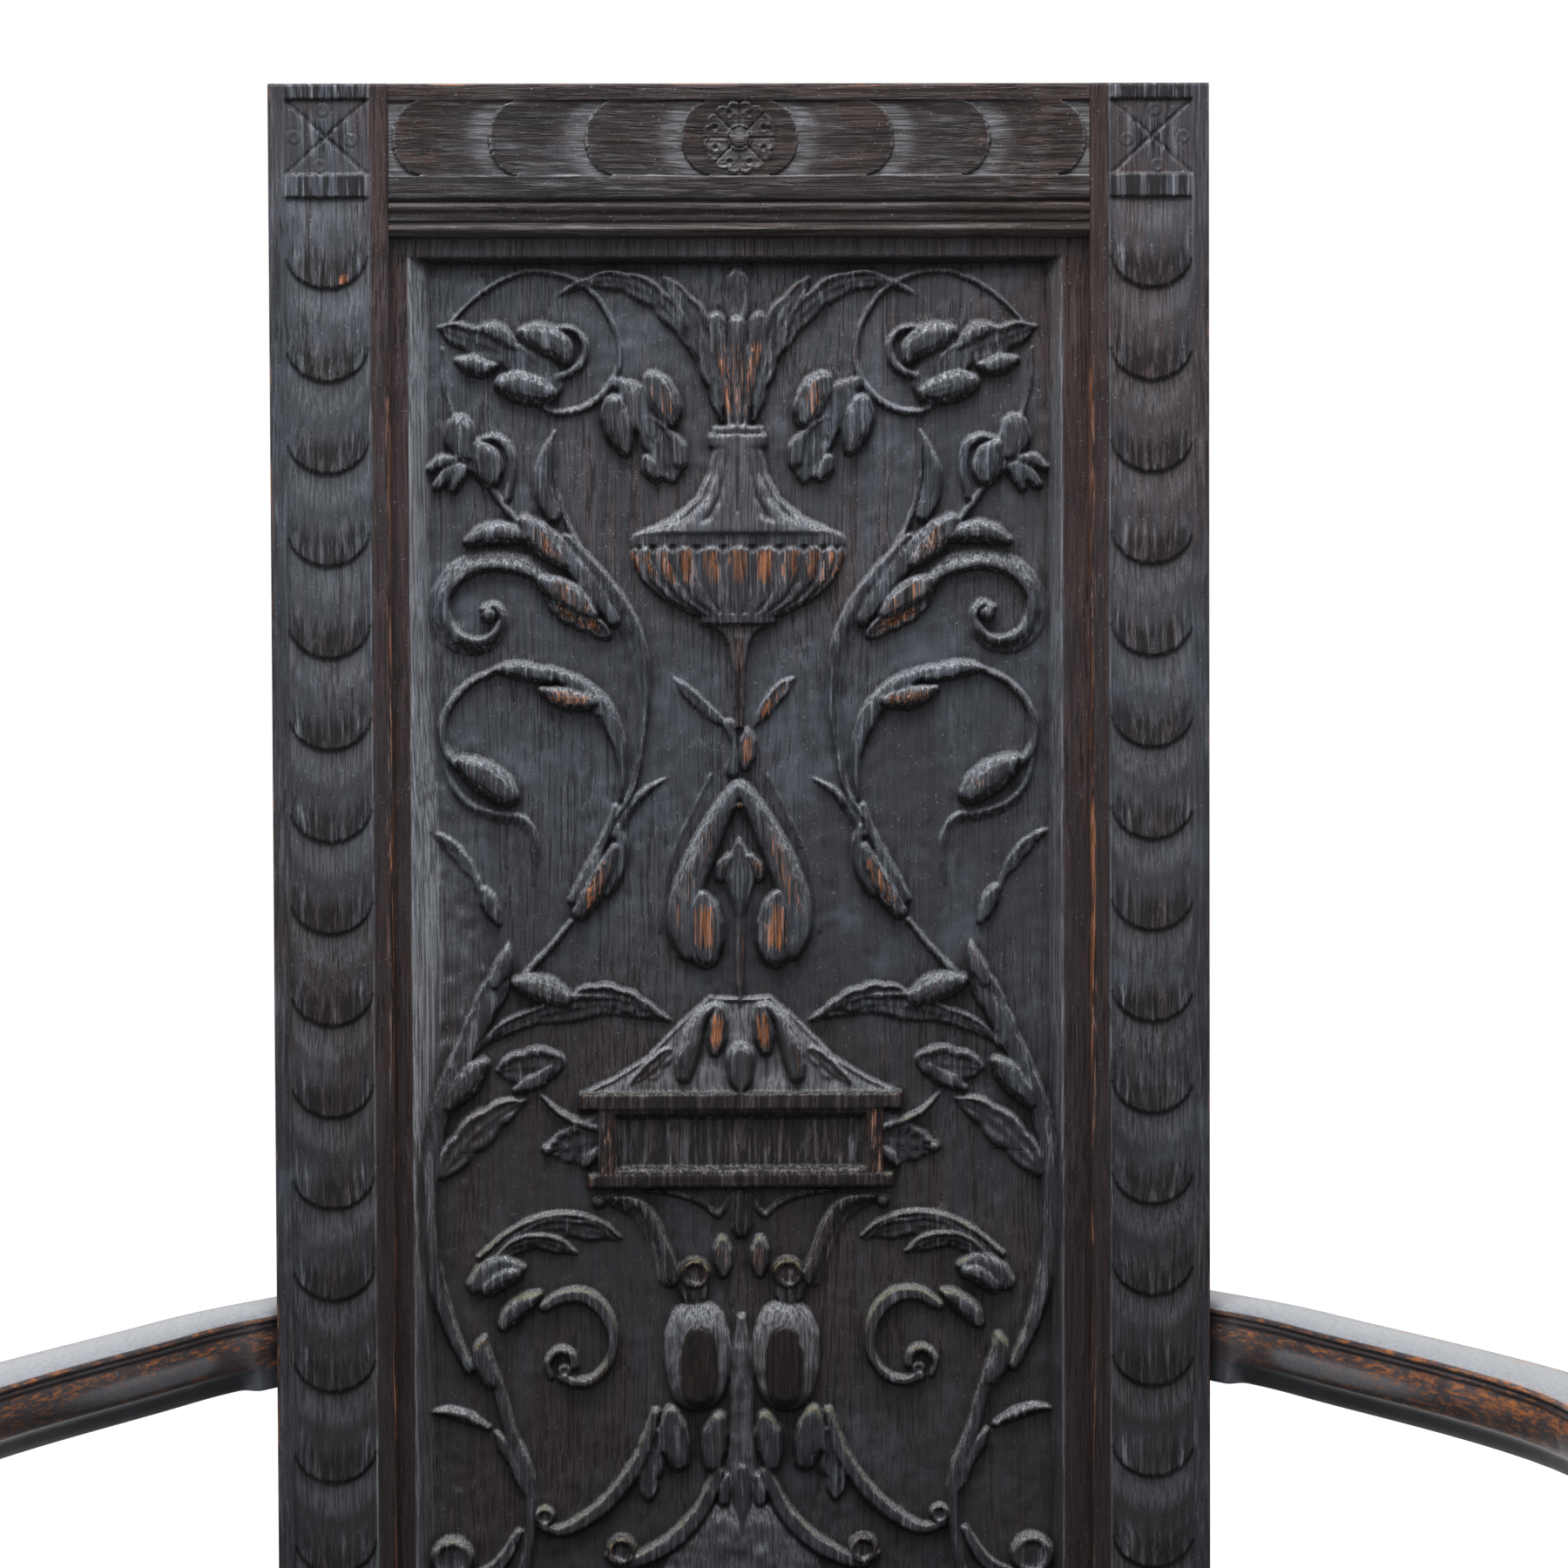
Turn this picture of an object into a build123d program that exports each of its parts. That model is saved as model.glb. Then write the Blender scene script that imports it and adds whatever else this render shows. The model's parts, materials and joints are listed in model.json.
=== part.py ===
from build123d import *
import os
from math import atan2, cos, degrees, radians, sin, tan

# Joined oak armchair of the caquetoire kind: a tall, narrow carved back, two long rear
# posts, a trapezoid seat that widens to the front, and arms that splay and bow outwards
# to turned front posts.  Millimetres, +Z up, the sitter faces -Y, floor at Z = 0.

# ---------------------------------------------------------------- driving dimensions
total_height = 1240.0  # floor to the front arris of the top rail
back_width = 400.0  # over the two rear posts
back_rake = 2.0  # degrees the back leans behind the vertical
seat_height = 450.0  # floor to the top of the seat, where the rear posts bend
seat_reach = 385.0  # front face of the rear posts to the centres of the front posts
front_spread = 596.0  # between the centres of the two front posts

# Rear posts
rear_post_width = 51.0
rear_post_depth = 45.0
post_corner_round = 1.5

# Carved fields sunk in the face of the rear posts
strip_inset = 7.0  # flat margin on the outer side of the sunk strip
strip_width = 35.0
strip_depth = 2.5
strip_top_margin = 6.5  # above the small square at the head of the post
strip_square_height = 32.0
strip_bar_height = 9.5  # flat bar between the square and the long strip
strip_foot_margin = 12.0  # flat stretch of the post above the level of the seat

# Scales carved down the long strip
scale_pitch = 39.2
scale_first_drop = 86.8  # head of the post to the lower lip of the first scale
scale_rise = 1.9  # how far the lower lip of a scale stands above the sunk ground
scale_round = 16.0  # depth of the rounded lower lip

# Back frame
top_rail_height = 65.0
top_rail_thickness = 34.0
top_band_margin = 7.0  # flat edge above the sunk band
top_band_height = 32.0
top_band_depth = 2.5
top_flat_height = 9.5  # flat fillet below the band
coin_half = 24.6  # half width of the middle coin of the band
coin_end_margin = 1.7  # post to the outer edge of the last coin
coin_rise = 1.9
coin_round = 13.5  # depth of the rounded outer edge of a coin
coins_each_side = 3
rosette_radius = 15.8
rosette_rise = 2.2
reed_height = 6.0  # each half-round of the lower moulding
reed_sink = 0.6  # how far the reeds lie behind the face of the rail
reed_step = 3.2  # how far the ground beside the reeds lies behind that face
reed_groove = 1.0
reed_fillet = 2.6  # flat between the reeds
bottom_rail_height = 72.0
bottom_rail_thickness = 30.0
rail_bevel = 9.0  # sloped upper edge of the bottom rail
frame_tenon_length = 28.0
frame_tenon_thickness = 11.0
frame_tenon_setback = 20.0  # face of the post to the face of the tenon
frame_tenon_shoulder = 10.0  # kept off the upper and lower edges of a rail

# Carved panel
panel_setback = 7.0  # face of the frame to the flat margin of the panel
panel_thickness = 22.0
tongue_thickness = 8.0
tongue_length = 8.0
panel_side_margin = 9.2  # flat margin at each side of the panel
panel_top_margin = 7.0
panel_bottom_margin = 9.2
field_depth = 8.0  # margin to the sunk ground
field_slope = 7.5  # width of the sloped edge round the sunk ground

# Heights of the carving that stands on the ground of the panel
stem_relief = 3.2
scroll_relief = 4.4
leaf_relief = 5.4
boss_relief = 7.2
carving_root = 1.0  # how far the carved forms go on into the board below the ground

# Size of the drawing that the carving is taken from, stretched to fit the panel
drawing_height = 652.0
drawing_half_width = 149.0

# Tablet and the roof over it
cornice_drop = 366.0  # top of the panel opening to the top of the cornice
cornice_half_width = 70.0
cornice_height = 7.0
tablet_half_width = 63.0
tablet_height = 28.0
tablet_field_half_width = 56.0
sill_half_width = 67.0
sill_height = 6.5

# Front posts
front_post_size = 52.0
front_block_rise = 4.0  # squared block above the seat
stretcher_block_margin = 12.0  # squared block above and below a stretcher
foot_radius = 25.0
foot_neck_radius = 15.0
baluster_radius = 24.0
baluster_neck_radius = 14.0
arm_post_radius = 23.0
arm_post_neck_radius = 12.5
collar_height = 9.0
arm_pin_radius = 11.0
arm_pin_length = 20.0

# Seat
seat_thickness = 22.0
seat_overhang = 12.0
seat_edge_round = 8.0
seat_board_share = 0.52  # depth of the front board as a share of the whole seat

# Rails and stretchers
seat_rail_height = 74.0
seat_rail_thickness = 26.0
seat_rail_bead = 4.0
stretcher_height = 42.0
stretcher_thickness = 28.0
stretcher_floor_gap = 78.0
rail_tenon_length = 22.0  # of the rails that run across the chair
tenon_web = 4.0  # wood left between two tenons that meet in a post
rail_tenon_thickness = 10.0
rail_tenon_shoulder = 8.0
rail_face_inset = 5.0  # face of a post to the face of a rail or stretcher

# Arms
arm_top_height = 717.0
arm_thickness = 34.0
arm_front_setback = 10.0  # face of the rear post to the inner edge of the arm
arm_hand_radius = 38.0
arm_chamfer_height = 14.0
arm_chamfer_width = 11.0
arm_butt_width = 36.0  # where the arm meets the rear post
arm_waist_width = 25.0
arm_splay = 37.0  # degrees from straight ahead, where the arm leaves the rear post
arm_bow_reach = 49.0  # how far the arm bows out past the centres of the front posts
arm_bow_width = 33.0
arm_tenon_length = 26.0
arm_tenon_height = 20.0
arm_tenon_thickness = 12.0
arm_tenon_inset = 7.0  # inner edge of the arm to its tenon

# Pegs
peg_radius = 4.0  # over the corners of a peg, which is riven and shaved to eight sides
peg_sides = 8
peg_proud = 1.0
peg_run_out = 2.0  # how far a peg goes on past its tenon
seat_peg_depth = 46.0
seat_peg_spread = 180.0  # between the two pegs in the front rail
side_peg_spread = 120.0  # between the two pegs in each side rail
frame_peg_inset = 13.0  # inner edge of a rear post to the pegs of the back frame
frame_peg_spread = 0.22  # pegs above and below the middle of a rail, share of its height
rail_peg_inset = 11.0  # edge of a post to the pegs of a rail

# Clearances
joint_clearance = 0.3  # between a tenon and the end of its mortise
fit_clearance = 0.15  # on each side of a tenon, a tongue or a peg
board_gap = 0.4  # between boards, and between the seat and what it meets

# ---------------------------------------------------------------- derived places
rake = radians(back_rake)
half_back = back_width / 2
half_front = front_spread / 2
opening_half = half_back - rear_post_width
back_length = (total_height - seat_height) / cos(rake)
back_reach = back_length * sin(rake) + rear_post_depth * cos(rake)
front_reach = seat_reach + max(arm_hand_radius, front_post_size / 2 + seat_overhang)
face_y = (front_reach - back_reach) / 2  # front face of the rear posts at the floor
front_y = face_y - seat_reach  # centre line of the front posts
seat_underside = seat_height - seat_thickness
arm_underside = arm_top_height - arm_thickness
rail_bottom = seat_underside - seat_rail_height
stretcher_top = stretcher_floor_gap + stretcher_height
panel_head = back_length - top_rail_height  # lower edge of the top rail, along the rake
bottom_rail_foot = board_gap + bottom_rail_thickness * tan(rake)
panel_foot = bottom_rail_foot + bottom_rail_height
coin_pitch = (opening_half - coin_half - coin_end_margin) / coins_each_side

# Face of the back: X across, Y up along the rake from the level of the seat, Z forwards.
back_face = Plane(
    origin=(0, face_y, seat_height), x_dir=(1, 0, 0), z_dir=(0, -cos(rake), sin(rake))
)
# Section through the back: X up along the rake, Y forwards, Z to the sitter's left.
back_section = Plane(
    origin=(0, face_y, seat_height), x_dir=(0, sin(rake), cos(rake)), z_dir=(1, 0, 0)
)


def face_plane(depth):
    """Plane parallel to the face of the back, depth behind it."""
    return back_face.offset(-depth)


def back_point(across, up, depth):
    """Point at a place on the back, in the chair's own frame."""
    return back_face.from_local_coords(Vector(across, up, -depth))


def stretch_rectangle(low, high):
    """Rectangle in the current sketch from one corner to the other."""
    with Locations(((low[0] + high[0]) / 2, (low[1] + high[1]) / 2)):
        return Rectangle(high[0] - low[0], high[1] - low[1])


# Mortise and tenon limits up the back, and the tenon of an arm.
top_tenon = (panel_head + frame_tenon_shoulder, back_length - frame_tenon_shoulder)
bottom_tenon = (
    bottom_rail_foot + frame_tenon_shoulder,
    panel_foot - frame_tenon_shoulder - tongue_length,
)
arm_tenon_middle = arm_top_height - arm_thickness / 2
arm_tenon_y = (
    face_y
    + (arm_tenon_middle - seat_height) * tan(rake)
    + arm_front_setback
    + arm_tenon_inset
    + arm_tenon_thickness / 2
)

# Plan of a side rail: it runs between the middles of a rear and a front post.
side_back = Vector(half_back - rear_post_width / 2, face_y)
side_front = Vector(half_front, front_y)
side_splay = atan2(side_front.X - side_back.X, side_back.Y - side_front.Y)


def side_centre(y):
    """Middle of a side rail at a place along the depth of the chair."""
    return side_back.X + (side_back.Y - y) * tan(side_splay)


def side_strip(thickness, y_back, y_front, grow=0.0):
    """Slanted strip in plan with ends parallel to the faces of the posts."""
    half = (thickness / 2 + grow) / cos(side_splay)
    with BuildLine() as outline:
        Polyline(
            (side_centre(y_back) - half, y_back),
            (side_centre(y_back) + half, y_back),
            (side_centre(y_front) + half, y_front),
            (side_centre(y_front) - half, y_front),
            close=True,
        )
    make_face(outline.edges())


# Levels at which each rail and stretcher is tenoned into the posts.
seat_tenon = (rail_bottom + rail_tenon_shoulder, seat_underside - rail_tenon_shoulder)
low_tenon = (
    stretcher_floor_gap + rail_tenon_shoulder,
    stretcher_top - rail_tenon_shoulder,
)
rear_rail_middle = face_y + rear_post_depth - rail_face_inset - seat_rail_thickness / 2
front_rail_middle = front_y - front_post_size / 2 + rail_face_inset + seat_rail_thickness / 2
post_back_of_front = front_y + front_post_size / 2


# Side tenons stop short of the tenons that cross the chair in the same post.
rear_side_tenon_end = rear_rail_middle - rail_tenon_thickness / 2 - tenon_web
front_side_tenon_end = front_rail_middle + rail_tenon_thickness / 2 + tenon_web


def cross_mortise(x_low, x_high, middle, levels):
    """Cut for the tenon of a rail that runs across the chair."""
    with BuildSketch(Plane.XY.offset(levels[0] - fit_clearance)) as cut:
        half = rail_tenon_thickness / 2 + fit_clearance
        stretch_rectangle((x_low, middle - half), (x_high, middle + half))
    extrude(cut.sketch, amount=levels[1] - levels[0] + 2 * fit_clearance, mode=Mode.SUBTRACT)


def side_mortise(y_back, y_front, levels):
    """Cut for the tenon of a rail that runs from back to front."""
    with BuildSketch(Plane.XY.offset(levels[0] - fit_clearance)) as cut:
        side_strip(rail_tenon_thickness, y_back, y_front, grow=fit_clearance)
    extrude(cut.sketch, amount=levels[1] - levels[0] + 2 * fit_clearance, mode=Mode.SUBTRACT)


# ---------------------------------------------------------------- peg places
def rail_levels(levels):
    """Heights of the two pegs that hold a rail."""
    quarter = (levels[1] - levels[0]) / 4
    return (levels[0] + quarter, levels[1] - quarter)


def middle_level(levels):
    """Height of the one peg that holds a stretcher."""
    return ((levels[0] + levels[1]) / 2,)


def peg_places_across(face, facing, half_span, heights):
    """Planes of the pegs that hold a rail running across the chair."""
    return [
        Plane(
            origin=(side * (half_span + rail_peg_inset), face, z),
            x_dir=(1, 0, 0),
            z_dir=(0, facing, 0),
        )
        for side in (-1, 1)
        for z in heights
    ]


def peg_places_side(face, y, heights):
    """Planes of the pegs driven into the outer faces of the posts."""
    return [
        Plane(origin=(side * face, y, z), x_dir=(0, side, 0), z_dir=(side, 0, 0))
        for side in (-1, 1)
        for z in heights
    ]


front_face = front_y - front_post_size / 2
rear_face = face_y + rear_post_depth
front_peg_span = half_front - front_post_size / 2
front_side_peg_y = post_back_of_front - rail_peg_inset
rear_side_peg_y = face_y + rail_peg_inset
side_tenon_half = rail_tenon_thickness / 2 / cos(side_splay)

front_cross_peg_depth = (
    front_rail_middle + rail_tenon_thickness / 2 + peg_run_out - front_face
)
rear_cross_peg_depth = (
    rear_face - rear_rail_middle + rail_tenon_thickness / 2 + peg_run_out
)
front_side_peg_depth = (
    half_front
    + front_post_size / 2
    - side_centre(front_side_peg_y)
    + side_tenon_half
    + peg_radius * tan(side_splay)
    + peg_run_out
)
rear_side_peg_depth = (
    half_back
    - side_centre(rear_side_peg_y)
    + side_tenon_half
    + peg_radius * tan(side_splay)
    + peg_run_out
)
# The pegs of the back are driven from the rear and stop short of the carved face.
frame_peg_depth = rear_post_depth - frame_tenon_setback + peg_run_out


def frame_peg_places():
    """Planes on the rear of the back at the pegs of its two rails."""
    places = []
    for side in (-1, 1):
        for foot, height in (
            (panel_head, top_rail_height),
            (bottom_rail_foot, bottom_rail_height),
        ):
            for share in (0.5 - frame_peg_spread, 0.5 + frame_peg_spread):
                across = side * (opening_half + frame_peg_inset)
                places.append(
                    Plane(
                        origin=back_point(across, foot + share * height, rear_post_depth),
                        x_dir=(1, 0, 0),
                        z_dir=(0, cos(rake), -sin(rake)),
                    )
                )
    return places


def rear_surface_y(z):
    """Rear face of the raked part of the rear posts at a height."""
    return face_y + (z - seat_height) * tan(rake) + rear_post_depth / cos(rake)


arm_peg_places = [
    Plane(
        origin=(
            side * (half_back - arm_tenon_length / 2),
            rear_surface_y(arm_tenon_middle),
            arm_tenon_middle,
        ),
        x_dir=(1, 0, 0),
        z_dir=(0, cos(rake), -sin(rake)),
    )
    for side in (-1, 1)
]
arm_peg_depth = rear_post_depth - arm_front_setback - arm_tenon_inset + peg_run_out
seat_rail_pegs = [
    (peg_places_across(front_face, -1, front_peg_span, rail_levels(seat_tenon)), front_cross_peg_depth),
    (peg_places_across(rear_face, 1, opening_half, rail_levels(seat_tenon)), rear_cross_peg_depth),
    (
        peg_places_side(half_front + front_post_size / 2, front_side_peg_y, rail_levels(seat_tenon)),
        front_side_peg_depth,
    ),
    (peg_places_side(half_back, rear_side_peg_y, rail_levels(seat_tenon)), rear_side_peg_depth),
]
stretcher_pegs_places = [
    (peg_places_across(front_face, -1, front_peg_span, middle_level(low_tenon)), front_cross_peg_depth),
    (peg_places_across(rear_face, 1, opening_half, middle_level(low_tenon)), rear_cross_peg_depth),
    (
        peg_places_side(half_front + front_post_size / 2, front_side_peg_y, middle_level(low_tenon)),
        front_side_peg_depth,
    ),
    (peg_places_side(half_back, rear_side_peg_y, middle_level(low_tenon)), rear_side_peg_depth),
]


def peg_bores(groups):
    """Eight-sided peg holes: each group is a list of planes and the depth of its holes."""
    for planes, depth in groups:
        for plane in planes:
            with BuildSketch(plane.offset(peg_proud)) as bore:
                RegularPolygon(peg_radius + fit_clearance, peg_sides)
            extrude(
                bore.sketch,
                amount=-peg_proud - depth - joint_clearance,
                mode=Mode.SUBTRACT,
            )


def right_side(groups):
    """The planes on the sitter's left, which is the +X half of the chair."""
    return [([plane for plane in planes if plane.origin.X > 0], depth) for planes, depth in groups]


frame_pegs_places = [(frame_peg_places(), frame_peg_depth)]
arm_pegs_places = [(arm_peg_places, arm_peg_depth)]

# ---------------------------------------------------------------- scales and coins
def rounded_tile(half_width, length, round_depth):
    """Tile in the current sketch: its rounded end at the origin, its body along +Y."""
    lip = []
    for step in range(-3, 4):
        turn = radians(30 * step)
        lip.append((half_width * sin(turn), round_depth * (1 - cos(turn))))
    with BuildLine() as outline:
        Polyline(*lip, (half_width, length), (-half_width, length), close=True)
    make_face(outline.edges())


def scale_plane(lip):
    """Sloping top of a scale whose lip is at that height: proud at the lip, sunk above it."""
    lean = rake + atan2(scale_rise, scale_pitch + scale_round)
    return Plane(
        origin=back_point(strip_centre, lip, strip_depth - scale_rise),
        x_dir=(1, 0, 0),
        z_dir=(0, -cos(lean), sin(lean)),
    )


def coin_plane(side, edge):
    """Sloping top of a coin: proud at its outer edge, sunk towards the middle of the rail."""
    slope = atan2(coin_rise, coin_pitch + coin_round)
    up = band_foot + top_band_height / 2
    return Plane(
        origin=back_point(side * edge, up, top_band_depth - coin_rise),
        x_dir=(0, side * sin(rake), side * cos(rake)),
        z_dir=(-side * sin(slope), -cos(rake) * cos(slope), sin(rake) * cos(slope)),
    )


# ---------------------------------------------------------------- rear posts
strip_centre = half_back - strip_inset - strip_width / 2
square_top = back_length - strip_top_margin
square_foot = square_top - strip_square_height
strip_top = square_foot - strip_bar_height
strip_foot = strip_foot_margin
first_lip = back_length - scale_first_drop
scale_count = int((first_lip - strip_foot) / scale_pitch) + 1
scale_lips = [first_lip - number * scale_pitch for number in range(scale_count)]
bend_back = seat_height - rear_post_depth * tan(rake / 2)
top_behind = Vector(*back_point(0, back_length, rear_post_depth))
top_before = Vector(*back_point(0, back_length, 0))

with BuildPart() as right_rear_post:
    with BuildSketch(Plane.YZ.offset(opening_half)):
        with BuildLine():
            Polyline(
                (face_y, 0),
                (rear_face, 0),
                (rear_face, bend_back),
                (top_behind.Y, top_behind.Z),
                (top_before.Y, top_before.Z),
                (face_y, seat_height),
                close=True,
            )
        make_face()
    extrude(amount=rear_post_width)
    chamfer(
        right_rear_post.edges().filter_by(Axis.X).group_by(Axis.Z)[-1],
        length=post_corner_round,
    )
    # Sunk strip for the scales, and the small sunk square above it.
    with BuildSketch(face_plane(strip_depth)):
        stretch_rectangle(
            (strip_centre - strip_width / 2, strip_foot),
            (strip_centre + strip_width / 2, strip_top),
        )
        stretch_rectangle(
            (strip_centre - strip_width / 2, square_foot),
            (strip_centre + strip_width / 2, square_top),
        )
    extrude(amount=2 * strip_depth, mode=Mode.SUBTRACT)
    # Scales: each slopes from its proud rounded lip back under the lip of the one above.
    for lip in scale_lips:
        reach = min(scale_pitch + scale_round, strip_top - lip)
        with BuildSketch(scale_plane(lip)):
            rounded_tile(strip_width / 2, reach, scale_round)
        extrude(amount=-strip_depth)
    # Groove for the edge of the panel.
    with BuildSketch(face_plane(panel_setback + tongue_thickness + fit_clearance)):
        stretch_rectangle(
            (opening_half - tongue_length, panel_foot - tongue_length),
            (opening_half + tongue_length + joint_clearance, panel_head + tongue_length),
        )
    extrude(amount=tongue_thickness + 2 * fit_clearance, mode=Mode.SUBTRACT)
    # Mortises for the two rails of the back.
    with BuildSketch(face_plane(frame_tenon_setback - fit_clearance)):
        for tenon in (top_tenon, bottom_tenon):
            stretch_rectangle(
                (opening_half - frame_tenon_length, tenon[0] - fit_clearance),
                (opening_half + frame_tenon_length + joint_clearance, tenon[1] + fit_clearance),
            )
    extrude(amount=-frame_tenon_thickness - 2 * fit_clearance, mode=Mode.SUBTRACT)
    # Mortises for the seat rails and the stretchers.
    for levels in (seat_tenon, low_tenon):
        cross_mortise(
            opening_half - rail_tenon_length,
            opening_half + rail_tenon_length + joint_clearance,
            rear_rail_middle,
            levels,
        )
        side_mortise(rear_side_tenon_end + joint_clearance, face_y - 1.0, levels)
    # Mortise for the arm, cut from the outer side.
    with BuildSketch(Plane.YZ.offset(half_back)):
        with Locations((arm_tenon_y, arm_tenon_middle)):
            Rectangle(
                arm_tenon_thickness + 2 * fit_clearance,
                arm_tenon_height + 2 * fit_clearance,
            )
    extrude(amount=-arm_tenon_length - joint_clearance, mode=Mode.SUBTRACT)
    peg_bores(
        right_side(
            frame_pegs_places
            + arm_pegs_places
            + [seat_rail_pegs[1], seat_rail_pegs[3]]
            + [stretcher_pegs_places[1], stretcher_pegs_places[3]]
        )
    )

with BuildPart() as left_rear_post:
    mirror(right_rear_post.part, about=Plane.YZ)

# ---------------------------------------------------------------- top rail of the back
band_top = back_length - top_band_margin
band_foot = band_top - top_band_height
flat_foot = band_foot - top_flat_height
reed_top = flat_foot - reed_groove
reed_low_middle = reed_top - reed_height - reed_fillet - reed_height / 2

with BuildPart() as top_rail:
    with BuildSketch(back_section.offset(-opening_half)):
        # The lower edge of the face is worked as two reeds that stand in a sunk step.
        stretch_rectangle((flat_foot, -top_rail_thickness), (back_length, 0))
        stretch_rectangle((panel_head, -top_rail_thickness), (flat_foot, -reed_step))
        with Locations((reed_top - reed_height / 2, -reed_step), (reed_low_middle, -reed_step)):
            Ellipse(reed_height / 2, reed_step - reed_sink)
    extrude(amount=2 * opening_half)
    # Sunk band for the lunettes and the rosette.
    with BuildSketch(face_plane(top_band_depth)):
        stretch_rectangle((-opening_half, band_foot), (opening_half, band_top))
    extrude(amount=2 * top_band_depth, mode=Mode.SUBTRACT)
    # Coins that overlap towards a middle one, which carries a rosette.
    for side in (-1, 1):
        for number in range(coins_each_side):
            edge = coin_half + (number + 1) * coin_pitch
            with BuildSketch(coin_plane(side, edge)):
                rounded_tile(top_band_height / 2, coin_pitch + coin_round, coin_round)
            extrude(amount=-top_band_depth)
    with BuildSketch(face_plane(top_band_depth + carving_root)):
        with Locations((0, band_foot + top_band_height / 2)):
            RegularPolygon(rosette_radius, 16)
    extrude(amount=carving_root + rosette_rise)
    # Tenons at both ends.
    with BuildSketch(face_plane(frame_tenon_setback)):
        stretch_rectangle(
            (-opening_half - frame_tenon_length, top_tenon[0]),
            (opening_half + frame_tenon_length, top_tenon[1]),
        )
    extrude(amount=-frame_tenon_thickness)
    # Groove for the top edge of the panel.
    with BuildSketch(face_plane(panel_setback + tongue_thickness + fit_clearance)):
        stretch_rectangle(
            (-opening_half, panel_head),
            (opening_half, panel_head + tongue_length + joint_clearance),
        )
    extrude(amount=tongue_thickness + 2 * fit_clearance, mode=Mode.SUBTRACT)
    peg_bores(frame_pegs_places)

# ---------------------------------------------------------------- bottom rail of the back
with BuildPart() as back_bottom_rail:
    with BuildSketch(back_section.offset(-opening_half)):
        with BuildLine():
            Polyline(
                (bottom_rail_foot, 0),
                (panel_foot - rail_bevel, 0),
                (panel_foot, -panel_setback + fit_clearance),
                (panel_foot, -bottom_rail_thickness),
                (bottom_rail_foot, -bottom_rail_thickness),
                close=True,
            )
        make_face()
    extrude(amount=2 * opening_half)
    with BuildSketch(face_plane(frame_tenon_setback)):
        stretch_rectangle(
            (-opening_half - frame_tenon_length, bottom_tenon[0]),
            (opening_half + frame_tenon_length, bottom_tenon[1]),
        )
    extrude(amount=-frame_tenon_thickness)
    with BuildSketch(face_plane(panel_setback + tongue_thickness + fit_clearance)):
        stretch_rectangle(
            (-opening_half, panel_foot - tongue_length - joint_clearance),
            (opening_half, panel_foot),
        )
    extrude(amount=tongue_thickness + 2 * fit_clearance, mode=Mode.SUBTRACT)
    peg_bores(frame_pegs_places)

# ---------------------------------------------------------------- carved panel
field_half = opening_half - panel_side_margin - field_slope
field_top = panel_head - panel_top_margin - field_slope
field_foot = panel_foot + panel_bottom_margin + field_slope
ground = panel_setback + field_depth
board_half = opening_half - fit_clearance

# The carved forms of one half, which is mirrored.  Each is a middle line, as points across
# from the middle and down from the top of the opening, and its widths along that line.
carved_stems = [
    # Vine that circles from the horn leaf, and the tendril below it.
    (((54, 37), (62, 24), (73, 16), (87, 13), (100, 16), (114, 25), (126, 37)), (3, 3, 3)),
    (((54, 37), (52, 51), (57, 63), (67, 72), (79, 74)), (3.5, 3.5)),
    (((111, 86), (99, 89), (101, 108), (93, 123)), (3.5, 4)),
    # Second vine, its tail, and the stem of the pod.
    (((54, 242), (51, 225), (52, 207), (59, 197), (71, 189), (88, 184), (109, 186)), (4.5, 5.5)),
    (((109, 186), (122, 196), (128, 209), (127, 220), (121, 226)), (5, 3.5)),
    (((129, 217), (125, 233), (105, 247), (89, 260), (90, 276)), (3, 5, 2)),
    (((71, 289), (96, 317)), (3, 3)),
    # Stem of the urn and the lower stem of the side scroll.
    (((0, 163), (0, 220)), (9, 6)),
    (((110, 483), (105, 497), (101, 513), (94, 529), (92, 545), (95, 568), (98, 585)), (6.5, 6)),
]
carved_scrolls = [
    # Long stem beside the urn, and the upper volute with its eye.
    (((75, 128), (64, 141), (53, 156), (45, 173), (42, 194), (43, 214), (47, 235), (55, 250)), (7, 9, 4)),
    (((85, 145), (98, 139), (112, 138), (125, 145), (131, 159), (127, 171), (116, 176)), (6, 8, 7)),
    (((116, 176), (106, 173), (101, 164), (105, 156), (110, 159)), (7, 5)),
    # Long scroll beside the tablet, and the lower volute with its eye.
    (((105, 319), (114, 338), (124, 357), (132, 379), (135, 401), (135, 424)), (9, 7)),
    (((135, 424), (133, 446), (127, 467), (118, 485)), (7, 6)),
    (((85, 457), (74, 454), (63, 457), (56, 467), (55, 479), (59, 488), (66, 494)), (5, 8, 7)),
    (((66, 494), (75, 495), (83, 490), (84, 482), (78, 480)), (7, 4)),
    # Leaf arch under the tablet, its bracket, and the two swags at the foot.
    (((52, 430), (62, 422), (73, 419), (87, 421), (100, 426), (112, 434)), (2, 8, 5)),
    (((55, 410), (45, 411), (37, 421), (33, 434), (26, 444)), (4, 6)),
    (((39, 504), (44, 522), (55, 539), (68, 550), (79, 555), (87, 550)), (6, 8, 6)),
    (((12, 530), (18, 546), (30, 560), (45, 567), (53, 563)), (7, 8, 8)),
]
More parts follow.
